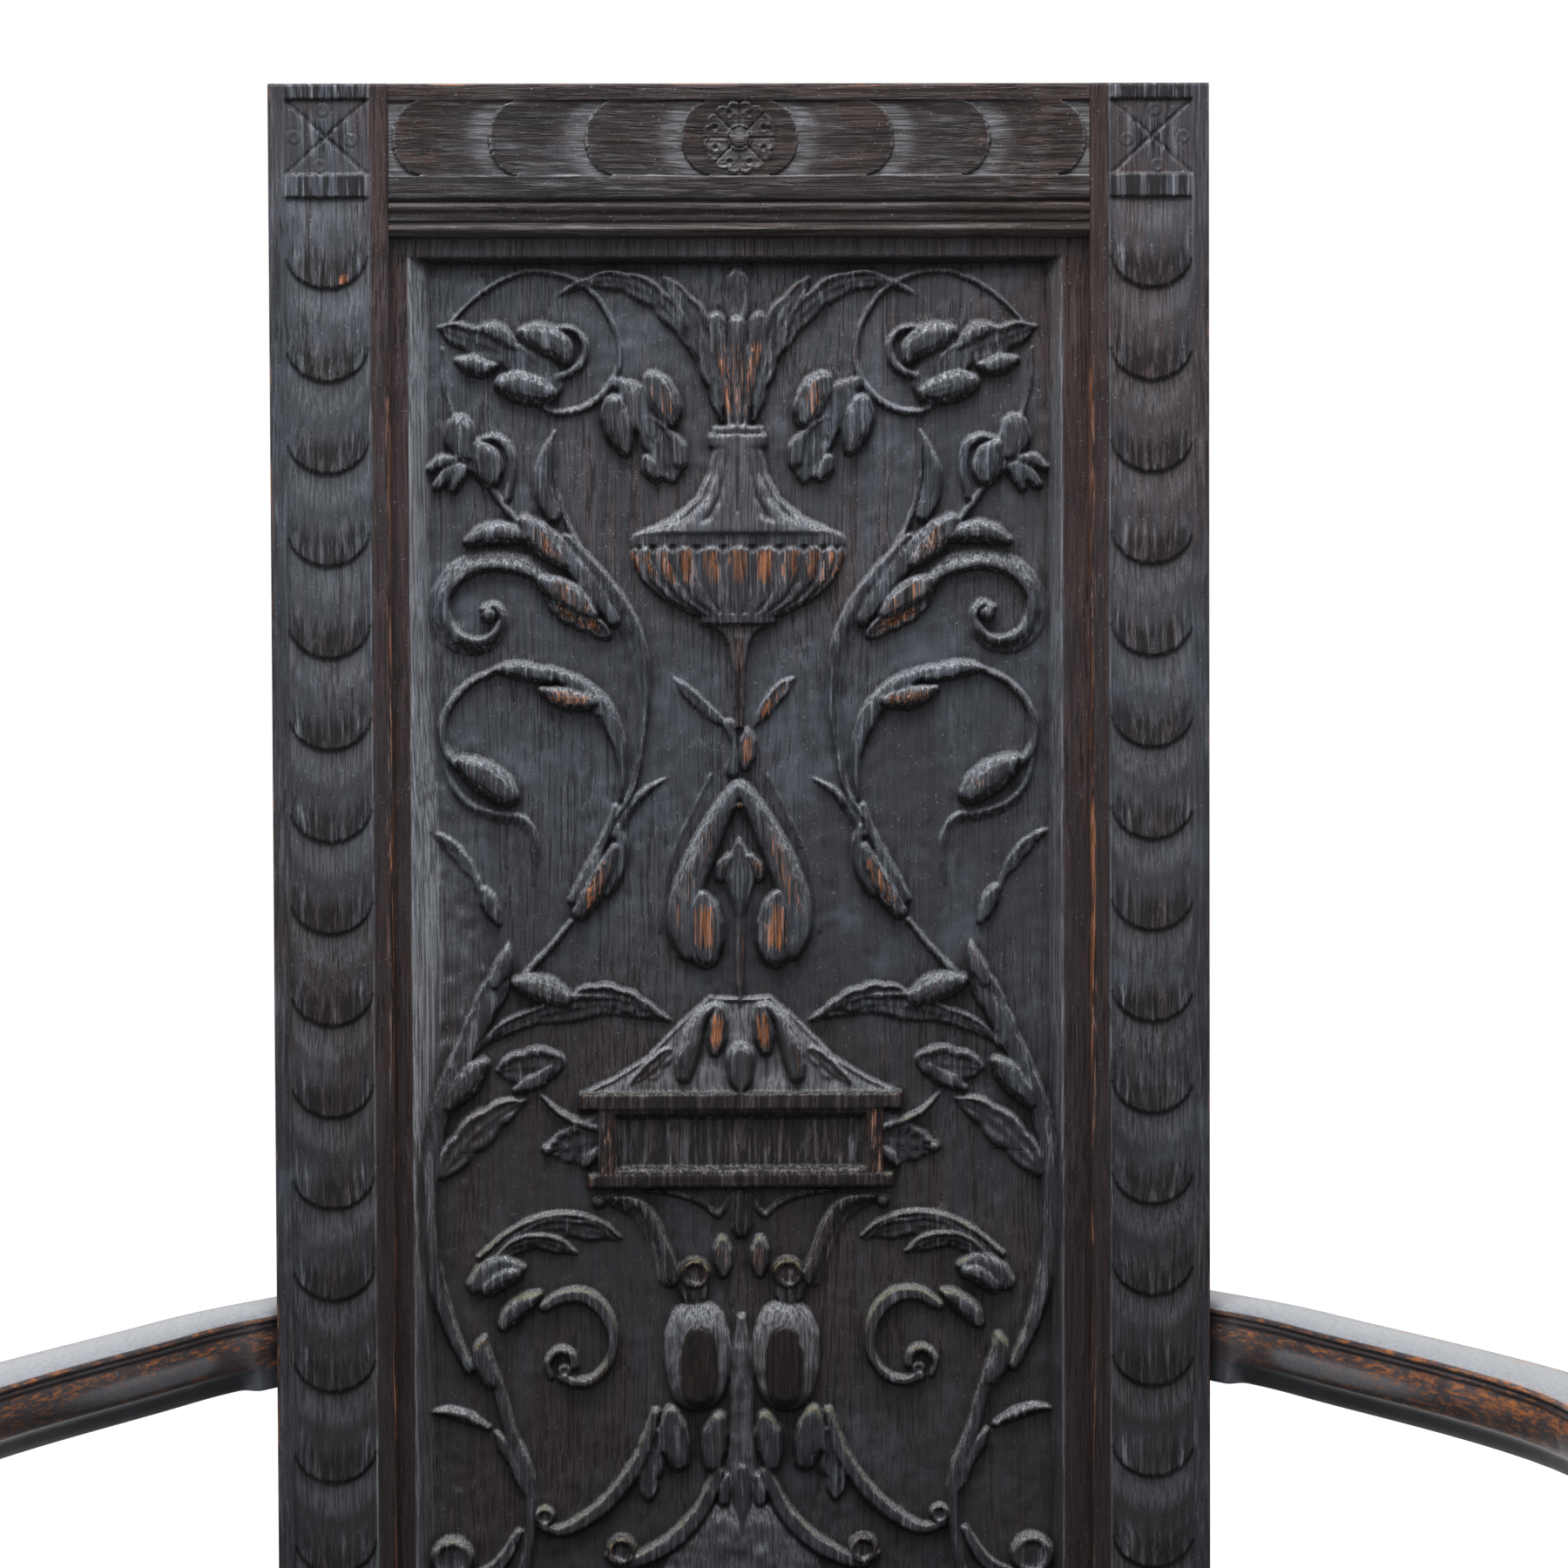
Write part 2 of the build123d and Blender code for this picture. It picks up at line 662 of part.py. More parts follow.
carved_leaves = [
    # Spray above the urn.
    (((32, 15), (26, 26), (20, 37), (15, 50), (9, 73)), (5, 9, 5)),
    (((80, 24), (67, 19), (54, 17), (41, 22), (29, 34), (16, 51)), (1, 9, 3)),
    # Leaves, buds and grapes of the side vine.
    (((129, 36), (120, 41), (109, 45), (86, 57)), (2, 15, 15, 6)),
    (((93, 39), (84, 41), (74, 46)), (6, 15, 8)),
    (((100, 60), (90, 63), (80, 66)), (8, 14, 8)),
    (((37, 57), (33, 65), (29, 73)), (8, 15, 8)),
    (((56, 70), (54, 80), (50, 91)), (8, 14, 4)),
    (((40, 74), (36, 84), (33, 93), (29, 104)), (8, 15, 15, 3)),
    (((120, 75), (118, 83), (113, 94), (106, 99)), (4, 13, 16, 8)),
    (((116, 92), (125, 98), (133, 102)), (9, 13, 8)),
    # Leaves of the upper scroll.
    (((80, 82), (82, 95), (82, 108), (73, 131)), (1, 8, 9, 6)),
    (((94, 120), (87, 128), (80, 136), (64, 154)), (7, 16, 17, 6)),
    (((118, 130), (105, 128), (93, 127)), (4, 10, 5)),
    (((85, 145), (77, 153), (69, 160), (50, 172)), (5, 15, 15, 6)),
    (((87, 191), (76, 196), (62, 204)), (4, 12, 7)),
    (((123, 222), (114, 229), (106, 235), (97, 241)), (5, 15, 15, 6)),
    (((31, 230), (40, 236), (48, 243), (54, 258)), (1, 5, 7, 5)),
    (((52, 257), (57, 268), (62, 277), (71, 291)), (5, 10, 10, 5)),
    (((136, 252), (127, 258), (118, 267), (111, 282), (105, 293)), (1, 6, 8, 7, 5)),
    # Leaves of the long scroll.
    (((101, 301), (103, 312), (107, 324), (120, 346)), (2, 12, 13, 7)),
    (((98, 318), (87, 321), (76, 325)), (6, 13, 8)),
    (((80, 330), (71, 327), (60, 327), (45, 331), (30, 337)), (2, 14, 14, 9, 1)),
    (((109, 350), (117, 360), (126, 373)), (5, 13, 6)),
    (((105, 350), (93, 347), (80, 350)), (3, 9, 5)),
    (((95, 367), (104, 374), (114, 382), (127, 398)), (4, 12, 13, 7)),
    (((71, 437), (81, 430), (91, 430), (108, 440)), (2, 10, 10, 5)),
    (((92, 441), (103, 443), (116, 453)), (6, 14, 8)),
    (((112, 469), (113, 479), (110, 490)), (2, 10, 7)),
    (((137, 504), (125, 505), (110, 512)), (1, 7, 4)),
    # Leaf under the capsule and the leaf on the middle line.
    (((40, 510), (41, 522), (41, 533), (40, 545)), (8, 13, 11, 1)),
    (((0, 526), (0, 538), (0, 560)), (8, 15, 1)),
    # Husk inside the pointed arch.
    (((0, 255), (0, 268), (0, 300), (0, 332)), (1, 10, 5, 2)),
]
carved_bosses = [
    # Leaf bundle over the urn.
    (((0, 28), (0, 50), (0, 80)), (22, 25, 15)),
    # Pointed arch, and the bud in each foot of it.
    (((2, 236), (10, 247), (17, 260), (23, 275), (25, 290), (20, 303)), (6, 11, 12, 12)),
    (((15, 280), (15, 290), (14, 305)), (4, 16, 14)),
    # Buds on the roof, eyes of the bracket and of the swags.
    (((10, 328), (10, 338), (11, 349)), (5, 11, 6)),
    (((22, 437), (22, 443), (22, 449)), (7, 13, 7)),
    (((53, 558), (53, 564), (53, 570)), (7, 13, 7)),
    (((127, 559), (127, 567), (127, 575)), (9, 17, 9)),
    # Capsule, and the two buds that hang from it.
    (((19, 458), (19, 465), (19, 492), (19, 500)), (20, 29, 30, 18)),
    (((32, 500), (31, 513), (29, 529)), (6, 12, 2)),
    (((13, 500), (13, 515), (13, 530)), (6, 12, 2)),
]
# Half outlines, mirrored about the middle line.
urn_outline = (
    (12, 80), (14, 88), (14, 100), (20, 111), (30, 119), (46, 126),
    (48, 134), (43, 146), (34, 155), (22, 160), (18, 165),
)
roof_outline = ((5, 325), (14, 325), (23, 332), (31, 340), (41, 351), (56, 360), (70, 366))


def carved_place(across, drop):
    """Place on the panel of a point of the drawing."""
    return (
        across * opening_half / drawing_half_width,
        panel_head - drop * (panel_head - panel_foot) / drawing_height,
    )


def carved_bar(half_width, top, height):
    """Level bar across the middle of the panel, in the current sketch."""
    stretch_rectangle(carved_place(-half_width, top + height), carved_place(half_width, top))


def carved_cheek(inner, outer, top, height):
    """Upright bar on each half of the panel, in the current sketch."""
    stretch_rectangle(carved_place(-outer, top + height), carved_place(-inner, top))
    stretch_rectangle(carved_place(inner, top + height), carved_place(outer, top))


def carved_band(line, widths, side):
    """Flat outline of a carved form: its middle line with half its width on each side."""
    edges = ([], [])
    for number, (across, drop) in enumerate(line):
        before = line[max(number - 1, 0)]
        after = line[min(number + 1, len(line) - 1)]
        ahead = Vector(after[0] - before[0], after[1] - before[1]).normalized()
        place = number / (len(line) - 1) * (len(widths) - 1)
        whole = min(int(place), len(widths) - 2)
        share = place - whole
        half = (widths[whole] * (1 - share) + widths[whole + 1] * share) / 2
        for edge, way in zip(edges, (half, -half)):
            edge.append(carved_place(side * (across - way * ahead.Y), drop + way * ahead.X))
    with BuildLine() as outline:
        Polyline(*edges[0], *reversed(edges[1]), close=True)
    make_face(outline.edges())


def carved_outline(half_outline):
    """Flat form given by its half outline, mirrored about the middle line."""
    right = [carved_place(across, drop) for across, drop in half_outline]
    left = [(-across, up) for across, up in reversed(right)]
    with BuildLine() as outline:
        Polyline(*right, *left, close=True)
    make_face(outline.edges())


def carved_layer(forms):
    """All the forms of a layer, on both halves of the panel."""
    for line, widths in forms:
        for side in (-1, 1):
            carved_band(line, widths, side)


tablet_drop = cornice_drop + cornice_height
sill_drop = tablet_drop + tablet_height

with BuildPart() as back_panel:
    with BuildSketch(face_plane(panel_setback)):
        stretch_rectangle((-board_half, panel_foot), (board_half, panel_head))
    extrude(amount=-panel_thickness)
    # The edge runs into the grooves of the frame as a tongue.
    with BuildSketch(face_plane(panel_setback)):
        stretch_rectangle(
            (-opening_half - tongue_length, panel_foot - tongue_length),
            (opening_half + tongue_length, panel_head + tongue_length),
        )
    extrude(amount=-tongue_thickness)
    # The ground is sunk, with a sloped edge all round.
    with BuildSketch(face_plane(ground)):
        stretch_rectangle((-field_half, field_foot), (field_half, field_top))
    with BuildSketch(face_plane(panel_setback)):
        stretch_rectangle(
            (-field_half - field_slope, field_foot - field_slope),
            (field_half + field_slope, field_top + field_slope),
        )
    loft(mode=Mode.SUBTRACT)
    # The carving stands on the ground in layers, the slender stems lowest.
    carving_plane = face_plane(ground + carving_root)
    with BuildSketch(carving_plane):
        carved_layer(carved_stems)
        carved_bar(tablet_field_half_width, tablet_drop, tablet_height)
    extrude(amount=carving_root + stem_relief)
    with BuildSketch(carving_plane):
        carved_layer(carved_scrolls)
        carved_outline(roof_outline)
    extrude(amount=carving_root + scroll_relief)
    with BuildSketch(carving_plane):
        carved_layer(carved_leaves)
    extrude(amount=carving_root + leaf_relief)
    with BuildSketch(carving_plane):
        carved_layer(carved_bosses)
        carved_outline(urn_outline)
        carved_bar(cornice_half_width, cornice_drop, cornice_height)
        carved_cheek(tablet_field_half_width, tablet_half_width, tablet_drop, tablet_height)
        carved_bar(sill_half_width, sill_drop, sill_height)
    extrude(amount=carving_root + boss_relief)

# ---------------------------------------------------------------- front posts
block_foot = stretcher_floor_gap - stretcher_block_margin
block_head = stretcher_top + stretcher_block_margin
seat_block_foot = rail_bottom - stretcher_block_margin
seat_block_head = seat_height + front_block_rise
block_half = front_post_size / 2


def turned_length(foot, head, swell, neck, collar):
    """Turned length of a post between two squared blocks: a baluster between two collars."""
    length = head - foot
    turns = (
        (0.0, foot),
        (swell, foot),
        (swell, foot + 0.8 * collar),
        (neck, foot + 2.4 * collar),
        (swell, foot + 0.34 * length),
        (0.94 * swell, foot + 0.46 * length),
        (neck, foot + 0.78 * length),
        (neck, head - 2.4 * collar),
        (swell, head - 0.8 * collar),
        (swell, head),
        (0.0, head),
    )
    with BuildSketch(Plane.XZ.offset(-front_y)) as section:
        with BuildLine() as outline:
            Polyline(*[(half_front + radius, z) for radius, z in turns], close=True)
        make_face(outline.edges())
    revolve(section.sketch, axis=Axis((half_front, front_y, 0), (0, 0, 1)))


with BuildPart() as right_front_post:
    # Turned foot under the low block.
    with BuildSketch(Plane.XZ.offset(-front_y)):
        with BuildLine():
            Polyline(
                (half_front, 0),
                (half_front + 0.8 * foot_radius, 0),
                (half_front + foot_radius, 0.24 * block_foot),
                (half_front + foot_radius, 0.5 * block_foot),
                (half_front + foot_neck_radius, 0.84 * block_foot),
                (half_front + foot_neck_radius, block_foot),
                (half_front, block_foot),
                close=True,
            )
        make_face()
    revolve(axis=Axis((half_front, front_y, 0), (0, 0, 1)))
    for foot, head in ((block_foot, block_head), (seat_block_foot, seat_block_head)):
        with BuildSketch(Plane.XY.offset(foot)):
            with Locations((half_front, front_y)):
                Rectangle(front_post_size, front_post_size)
        extrude(amount=head - foot)
    turned_length(block_head, seat_block_foot, baluster_radius, baluster_neck_radius, collar_height)
    turned_length(
        seat_block_head, arm_underside, arm_post_radius, arm_post_neck_radius, collar_height
    )
    with BuildSketch(Plane.XY.offset(arm_underside)):
        with Locations((half_front, front_y)):
            Circle(arm_pin_radius)
    extrude(amount=arm_pin_length)
    for levels in (seat_tenon, low_tenon):
        cross_mortise(
            half_front - block_half - 1.0,
            half_front - block_half + rail_tenon_length + joint_clearance,
            front_rail_middle,
            levels,
        )
        side_mortise(post_back_of_front + 1.0, front_side_tenon_end - joint_clearance, levels)
    peg_bores(
        right_side(
            [seat_rail_pegs[0], seat_rail_pegs[2], stretcher_pegs_places[0], stretcher_pegs_places[2]]
        )
    )

with BuildPart() as left_front_post:
    mirror(right_front_post.part, about=Plane.YZ)

# ---------------------------------------------------------------- seat rails and stretchers
front_span = half_front - block_half
seat_front = front_y - block_half - seat_overhang
seat_back = rear_rail_middle + seat_rail_thickness / 2
seat_split = seat_front + seat_board_share * (seat_back - seat_front)
seat_peg_points = [(side * seat_peg_spread / 2, front_rail_middle) for side in (-1, 1)]
for offset_from_split in (-side_peg_spread / 2, side_peg_spread / 2):
    peg_y = seat_split + offset_from_split
    seat_peg_points += [(side * side_centre(peg_y), peg_y) for side in (-1, 1)]
seat_pegs_places = [
    (
        [Plane(origin=(x, y, seat_height)) for x, y in seat_peg_points],
        seat_peg_depth,
    )
]


def cross_rail(span, middle, thickness, foot, head, levels):
    """Rail across the chair with a tenon at each end."""
    with BuildSketch(Plane.XY.offset(foot)) as body:
        stretch_rectangle((-span, middle - thickness / 2), (span, middle + thickness / 2))
    extrude(body.sketch, amount=head - foot)
    with BuildSketch(Plane.XY.offset(levels[0])) as tenon:
        half = rail_tenon_thickness / 2
        reach = span + rail_tenon_length
        stretch_rectangle((-reach, middle - half), (reach, middle + half))
    extrude(tenon.sketch, amount=levels[1] - levels[0])


def side_rail(thickness, foot, head, levels):
    """Slanted rail from a rear post to a front post with a tenon at each end."""
    with BuildSketch(Plane.XY.offset(foot)) as body:
        side_strip(thickness, face_y, post_back_of_front)
    extrude(body.sketch, amount=head - foot)
    with BuildSketch(Plane.XY.offset(levels[0])) as tenon:
        side_strip(rail_tenon_thickness, rear_side_tenon_end, front_side_tenon_end)
    extrude(tenon.sketch, amount=levels[1] - levels[0])


with BuildPart() as front_seat_rail:
    cross_rail(
        front_span, front_rail_middle, seat_rail_thickness, rail_bottom, seat_underside, seat_tenon
    )
    chamfer(
        front_seat_rail.faces().sort_by(Axis.Y)[0].edges().sort_by(Axis.Z)[0],
        length=seat_rail_bead,
    )
    peg_bores([seat_rail_pegs[0]] + seat_pegs_places)

with BuildPart() as rear_seat_rail:
    cross_rail(
        opening_half, rear_rail_middle, seat_rail_thickness, rail_bottom, seat_underside, seat_tenon
    )
    peg_bores([seat_rail_pegs[1]])

with BuildPart() as right_seat_rail:
    side_rail(seat_rail_thickness, rail_bottom, seat_underside, seat_tenon)
    peg_bores(right_side([seat_rail_pegs[2], seat_rail_pegs[3]] + seat_pegs_places))

with BuildPart() as left_seat_rail:
    mirror(right_seat_rail.part, about=Plane.YZ)

with BuildPart() as front_stretcher:
    cross_rail(
        front_span,
        front_rail_middle,
        stretcher_thickness,
        stretcher_floor_gap,
        stretcher_top,
        low_tenon,
    )
    peg_bores([stretcher_pegs_places[0]])

with BuildPart() as rear_stretcher:
    cross_rail(
        opening_half,
        rear_rail_middle,
        stretcher_thickness,
        stretcher_floor_gap,
        stretcher_top,
        low_tenon,
    )
    peg_bores([stretcher_pegs_places[1]])

with BuildPart() as right_stretcher:
    side_rail(stretcher_thickness, stretcher_floor_gap, stretcher_top, low_tenon)
    peg_bores(right_side([stretcher_pegs_places[2], stretcher_pegs_places[3]]))

with BuildPart() as left_stretcher:
    mirror(right_stretcher.part, about=Plane.YZ)

# ---------------------------------------------------------------- seat boards
def seat_side(y):
    """Half width of the seat at a place along its depth."""
    return side_centre(y) + (seat_rail_thickness / 2 + seat_overhang) / cos(side_splay)


def seat_board(y_low, y_high):
    """One board of the seat, notched round the posts that it meets."""
    with BuildSketch(Plane.XY.offset(seat_underside)) as board:
        with BuildLine():
            Polyline(
                (-seat_side(y_low), y_low),
                (seat_side(y_low), y_low),
                (seat_side(y_high), y_high),
                (-seat_side(y_high), y_high),
                close=True,
            )
        make_face()
        front_notch = half_front - block_half - board_gap
        beyond = seat_side(seat_front) + seat_overhang
        rear_notch = opening_half - board_gap
        for side in (-1, 1):
            with Locations((side * (front_notch + beyond) / 2, front_y - seat_overhang / 2)):
                Rectangle(
                    beyond - front_notch,
                    front_post_size + seat_overhang + 2 * board_gap,
                    mode=Mode.SUBTRACT,
                )
            with Locations((side * (rear_notch + beyond) / 2, face_y - board_gap + rear_post_depth)):
                Rectangle(beyond - rear_notch, 2 * rear_post_depth, mode=Mode.SUBTRACT)
    extrude(board.sketch, amount=seat_thickness)


with BuildPart() as seat_front_board:
    seat_board(seat_front, seat_split - board_gap / 2)
    fillet(
        seat_front_board.edges().filter_by(Axis.X).group_by(Axis.Y)[0].sort_by(Axis.Z)[-1],
        radius=seat_edge_round,
    )
    peg_bores(seat_pegs_places)

with BuildPart() as seat_rear_board:
    seat_board(seat_split + board_gap / 2, seat_back)
    peg_bores(seat_pegs_places)

# ---------------------------------------------------------------- arms
arm_butt_y = face_y + (arm_top_height - seat_height) * tan(rake) + arm_front_setback
arm_waist_out = 34.0  # the waist of the arm, outwards from the side of the back
arm_waist_forward = arm_waist_out / tan(radians(arm_splay))
bow_x = half_front + arm_bow_reach
bow_y = front_y + 0.5 * (arm_butt_y - front_y)
hand_share = 0.72  # where the arm narrows behind the hand, as a share of its radius


def arm_outline():
    """Plan of the right arm: a slender neck, an outward bow and a rounded hand."""
    waist = Vector(half_back + arm_waist_out, arm_butt_y - arm_waist_forward)
    across = Vector(cos(radians(arm_splay)), sin(radians(arm_splay)))
    hand_back = front_y + arm_hand_radius * hand_share
    side_reach = arm_hand_radius * (1 - hand_share**2) ** 0.5
    inner_start = Vector(half_back, arm_butt_y)
    outer_start = Vector(half_back, arm_butt_y + arm_butt_width)
    inner_end = Vector(half_front - side_reach, hand_back)
    outer_end = Vector(half_front + side_reach, hand_back)
    with BuildLine() as outline:
        Line(outer_start, inner_start)
        Spline(
            inner_start,
            waist,
            (bow_x - arm_bow_width, bow_y),
            inner_end,
            tangents=((sin(radians(arm_splay)), -cos(radians(arm_splay))), (-0.5, -1)),
        )
        ThreePointArc(inner_end, (half_front, front_y - arm_hand_radius), outer_end)
        Spline(
            outer_end,
            (bow_x, bow_y),
            waist + across * arm_waist_width,
            outer_start,
            tangents=((0.2, 1), (-1, 0.6)),
        )
    make_face(outline.edges())


with BuildPart() as right_arm:
    with BuildSketch(Plane.XY.offset(arm_underside)):
        arm_outline()
    extrude(amount=arm_thickness)
    chamfer(
        right_arm.faces().sort_by(Axis.Z)[0].edges().filter_by(GeomType.BSPLINE).sort_by(Axis.X)[0],
        length=arm_chamfer_height,
        length2=arm_chamfer_width,
    )
    with BuildSketch(Plane.YZ.offset(half_back)):
        with Locations((arm_tenon_y, arm_tenon_middle)):
            Rectangle(arm_tenon_thickness, arm_tenon_height)
    extrude(amount=-arm_tenon_length)
    with BuildSketch(Plane.XY.offset(arm_underside)):
        with Locations((half_front, front_y)):
            Circle(arm_pin_radius + fit_clearance)
    extrude(amount=arm_pin_length + joint_clearance, mode=Mode.SUBTRACT)
    peg_bores(right_side(arm_pegs_places))

with BuildPart() as left_arm:
    mirror(right_arm.part, about=Plane.YZ)

# ---------------------------------------------------------------- pegs


def peg_group(groups, proud):
    """Eight-sided pegs at the given planes, each of its own depth."""
    for planes, depth in groups:
        for plane in planes:
            with BuildSketch(plane.offset(-depth)) as end:
                RegularPolygon(peg_radius, peg_sides)
            extrude(end.sketch, amount=depth + proud)


with BuildPart() as back_frame_pegs:
    peg_group(frame_pegs_places, peg_proud)

with BuildPart() as arm_pegs:
    peg_group(arm_pegs_places, peg_proud)

with BuildPart() as seat_rail_peg_set:
    peg_group(seat_rail_pegs, peg_proud)

with BuildPart() as stretcher_pegs:
    peg_group(stretcher_pegs_places, peg_proud)

with BuildPart() as seat_pegs:
    peg_group(seat_pegs_places, 0.0)

# ---------------------------------------------------------------- files
pieces = {
    "left_rear_post": left_rear_post,
    "right_rear_post": right_rear_post,
    "top_rail": top_rail,
    "back_bottom_rail": back_bottom_rail,
    "back_panel": back_panel,
    "left_arm": left_arm,
    "right_arm": right_arm,
    "left_front_post": left_front_post,
    "right_front_post": right_front_post,
    "front_seat_rail": front_seat_rail,
    "rear_seat_rail": rear_seat_rail,
    "left_seat_rail": left_seat_rail,
    "right_seat_rail": right_seat_rail,
    "front_stretcher": front_stretcher,
    "rear_stretcher": rear_stretcher,
    "left_stretcher": left_stretcher,
    "right_stretcher": right_stretcher,
    "seat_front_board": seat_front_board,
    "seat_rear_board": seat_rear_board,
    "back_frame_pegs": back_frame_pegs,
    "arm_pegs": arm_pegs,
    "seat_rail_pegs": seat_rail_peg_set,
    "stretcher_pegs": stretcher_pegs,
    "seat_pegs": seat_pegs,
}
os.makedirs("parts", exist_ok=True)
for name, piece in pieces.items():
    piece.part.label = name
    export_step(piece.part, "parts/" + name + ".step")
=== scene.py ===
"""Dresses the joined oak armchair: carved back, bowed arms, turned posts and board seat."""

from __future__ import annotations

import json
import logging
import math
from dataclasses import dataclass
from enum import Enum
from typing import Callable, Sequence

import bpy
import numpy as np
from mathutils import Matrix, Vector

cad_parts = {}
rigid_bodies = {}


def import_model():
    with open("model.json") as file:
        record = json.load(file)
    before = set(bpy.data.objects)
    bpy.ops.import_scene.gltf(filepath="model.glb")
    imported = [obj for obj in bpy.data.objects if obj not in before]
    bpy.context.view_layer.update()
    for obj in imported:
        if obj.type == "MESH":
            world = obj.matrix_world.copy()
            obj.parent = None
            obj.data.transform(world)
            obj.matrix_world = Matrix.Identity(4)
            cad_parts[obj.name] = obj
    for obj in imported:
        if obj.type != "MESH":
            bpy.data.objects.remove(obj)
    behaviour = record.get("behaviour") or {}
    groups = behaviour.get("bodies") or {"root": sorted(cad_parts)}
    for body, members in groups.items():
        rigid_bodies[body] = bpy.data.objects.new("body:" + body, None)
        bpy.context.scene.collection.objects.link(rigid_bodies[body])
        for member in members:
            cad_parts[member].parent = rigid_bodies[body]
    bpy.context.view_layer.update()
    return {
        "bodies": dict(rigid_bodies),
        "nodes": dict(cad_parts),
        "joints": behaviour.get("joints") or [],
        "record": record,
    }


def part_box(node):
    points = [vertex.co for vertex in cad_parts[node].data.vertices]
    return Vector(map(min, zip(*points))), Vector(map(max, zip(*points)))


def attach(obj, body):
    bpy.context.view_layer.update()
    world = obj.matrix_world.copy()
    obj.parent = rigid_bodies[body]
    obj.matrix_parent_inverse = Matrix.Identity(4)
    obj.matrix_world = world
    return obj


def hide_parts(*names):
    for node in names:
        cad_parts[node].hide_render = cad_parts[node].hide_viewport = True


LOG = logging.getLogger("armchair")
MM = 0.001
BODY = "root"
Point = tuple[float, float]
Array = np.ndarray
SURFACE_VALUES = ("tint", "wear", "dust", "lie", "hollow", "rough")  # attributes of carved pieces


# ------------------------ choices
class Grain(Enum):
    """Direction in which the fibres of a piece run."""

    UP = (1.0, 1.0, 0.02)
    ACROSS = (0.02, 1.0, 1.0)
    DEEP = (1.0, 0.02, 1.0)


class Form(Enum):
    """Cross-section of a carved stroke."""

    ROUND = "round"
    RIDGE = "ridge"
    HOLLOW = "hollow"
    LEAF = "leaf"
    BUD = "bud"
    CUP = "cup"
    FLAT = "flat"

    def section(self, t: Array, share: Array, upper: Array, lobes: int) -> Array:
        """Height across the form's width, as a share of its full height.

        ROUND is a full round, RIDGE a roof with its ridge in the middle, HOLLOW a trough
        between two rounded lips, LEAF a blade that leans down from a turned-up lip, with a
        midrib and veins that run out to its lobes, BUD a full dome with flutes that open
        towards its tip, CUP a slope that falls from a raised left edge, FLAT a plateau.

        Args:
            t: place across, -1 to 1.
            share: place along, 0 to 1.
            upper: height above the path over the half width, -1 to 1.
            lobes: number of scallops, which the veins follow.

        Returns:
            Shares of the height.
        """
        size = np.abs(t)
        dome = np.sqrt(np.clip(1 - size**2, 0, 1))
        if self is Form.ROUND:
            return 0.15 + 0.85 * dome
        if self is Form.RIDGE:
            return 0.25 + 0.75 * (1 - size) ** 0.9
        if self is Form.HOLLOW:
            return 0.62 + 0.38 * bell(size - 0.74, 0.18)
        if self is Form.LEAF:
            veins = np.cos(2 * np.pi * ((lobes or 4) * share + 0.5 * size)) * ease((size - 0.1) / 0.4)
            lip = bell(size - 0.70, 0.22) * (0.55 + 0.45 * upper)
            return 0.50 + 0.26 * upper + 0.32 * lip + 0.09 * veins + 0.10 * bell(t, 0.14)
        if self is Form.BUD:
            flutes = 0.5 - 0.5 * np.cos(2 * np.pi * 2.5 * t)
            return 0.12 + 0.88 * dome - 0.07 * flutes * dome * ease((share - 0.25) / 0.35)
        if self is Form.CUP:
            return 0.22 + 0.78 * ease(0.52 + 0.60 * t) * (0.45 + 0.55 * dome)
        return np.ones_like(t)


# ------------------------ curves of change
def ease(values: Array) -> Array:
    """Smooth step of values held between 0 and 1."""
    held = np.clip(values, 0.0, 1.0)
    return held * held * (3 - 2 * held)


def bell(values: Array, width: float) -> Array:
    """Bell curve: 1 at 0, falling to 1/e at the width on either side."""
    return np.exp(-((values / width) ** 2))


def drift(place: Array, pitch: float, seed: int) -> Array:
    """Slow random change along a coordinate: eased steps between random values.

    Args:
        place: the coordinate.
        pitch: distance between random values.
        seed: of the random values.

    Returns:
        Values between 0 and 1, with the shape of place.
    """
    knots = np.random.default_rng(seed).random(512)
    cell = (np.asarray(place) / pitch) % 511
    low = np.floor(cell).astype(int)
    return knots[low] + (knots[low + 1] - knots[low]) * ease(cell - low)


def blurred(grid: Array, cells: float) -> Array:
    """Gaussian blur of a grid by two one-dimensional passes.

    Args:
        grid: the values.
        cells: standard deviation in cells.

    Returns:
        The blurred grid.
    """
    reach = max(1, int(3 * cells))
    offsets = np.arange(-reach, reach + 1)
    weights = np.exp(-0.5 * (offsets / cells) ** 2)
    weights /= weights.sum()
    rows, columns = grid.shape
    padded = np.pad(grid, ((reach, reach), (0, 0)), mode="edge")
    result = np.zeros_like(grid)
    for shift, weight in enumerate(weights):
        result += weight * padded[shift : shift + rows]
    padded = np.pad(result, ((0, 0), (reach, reach)), mode="edge")
    result = np.zeros_like(grid)
    for shift, weight in enumerate(weights):
        result += weight * padded[:, shift : shift + columns]
    return result


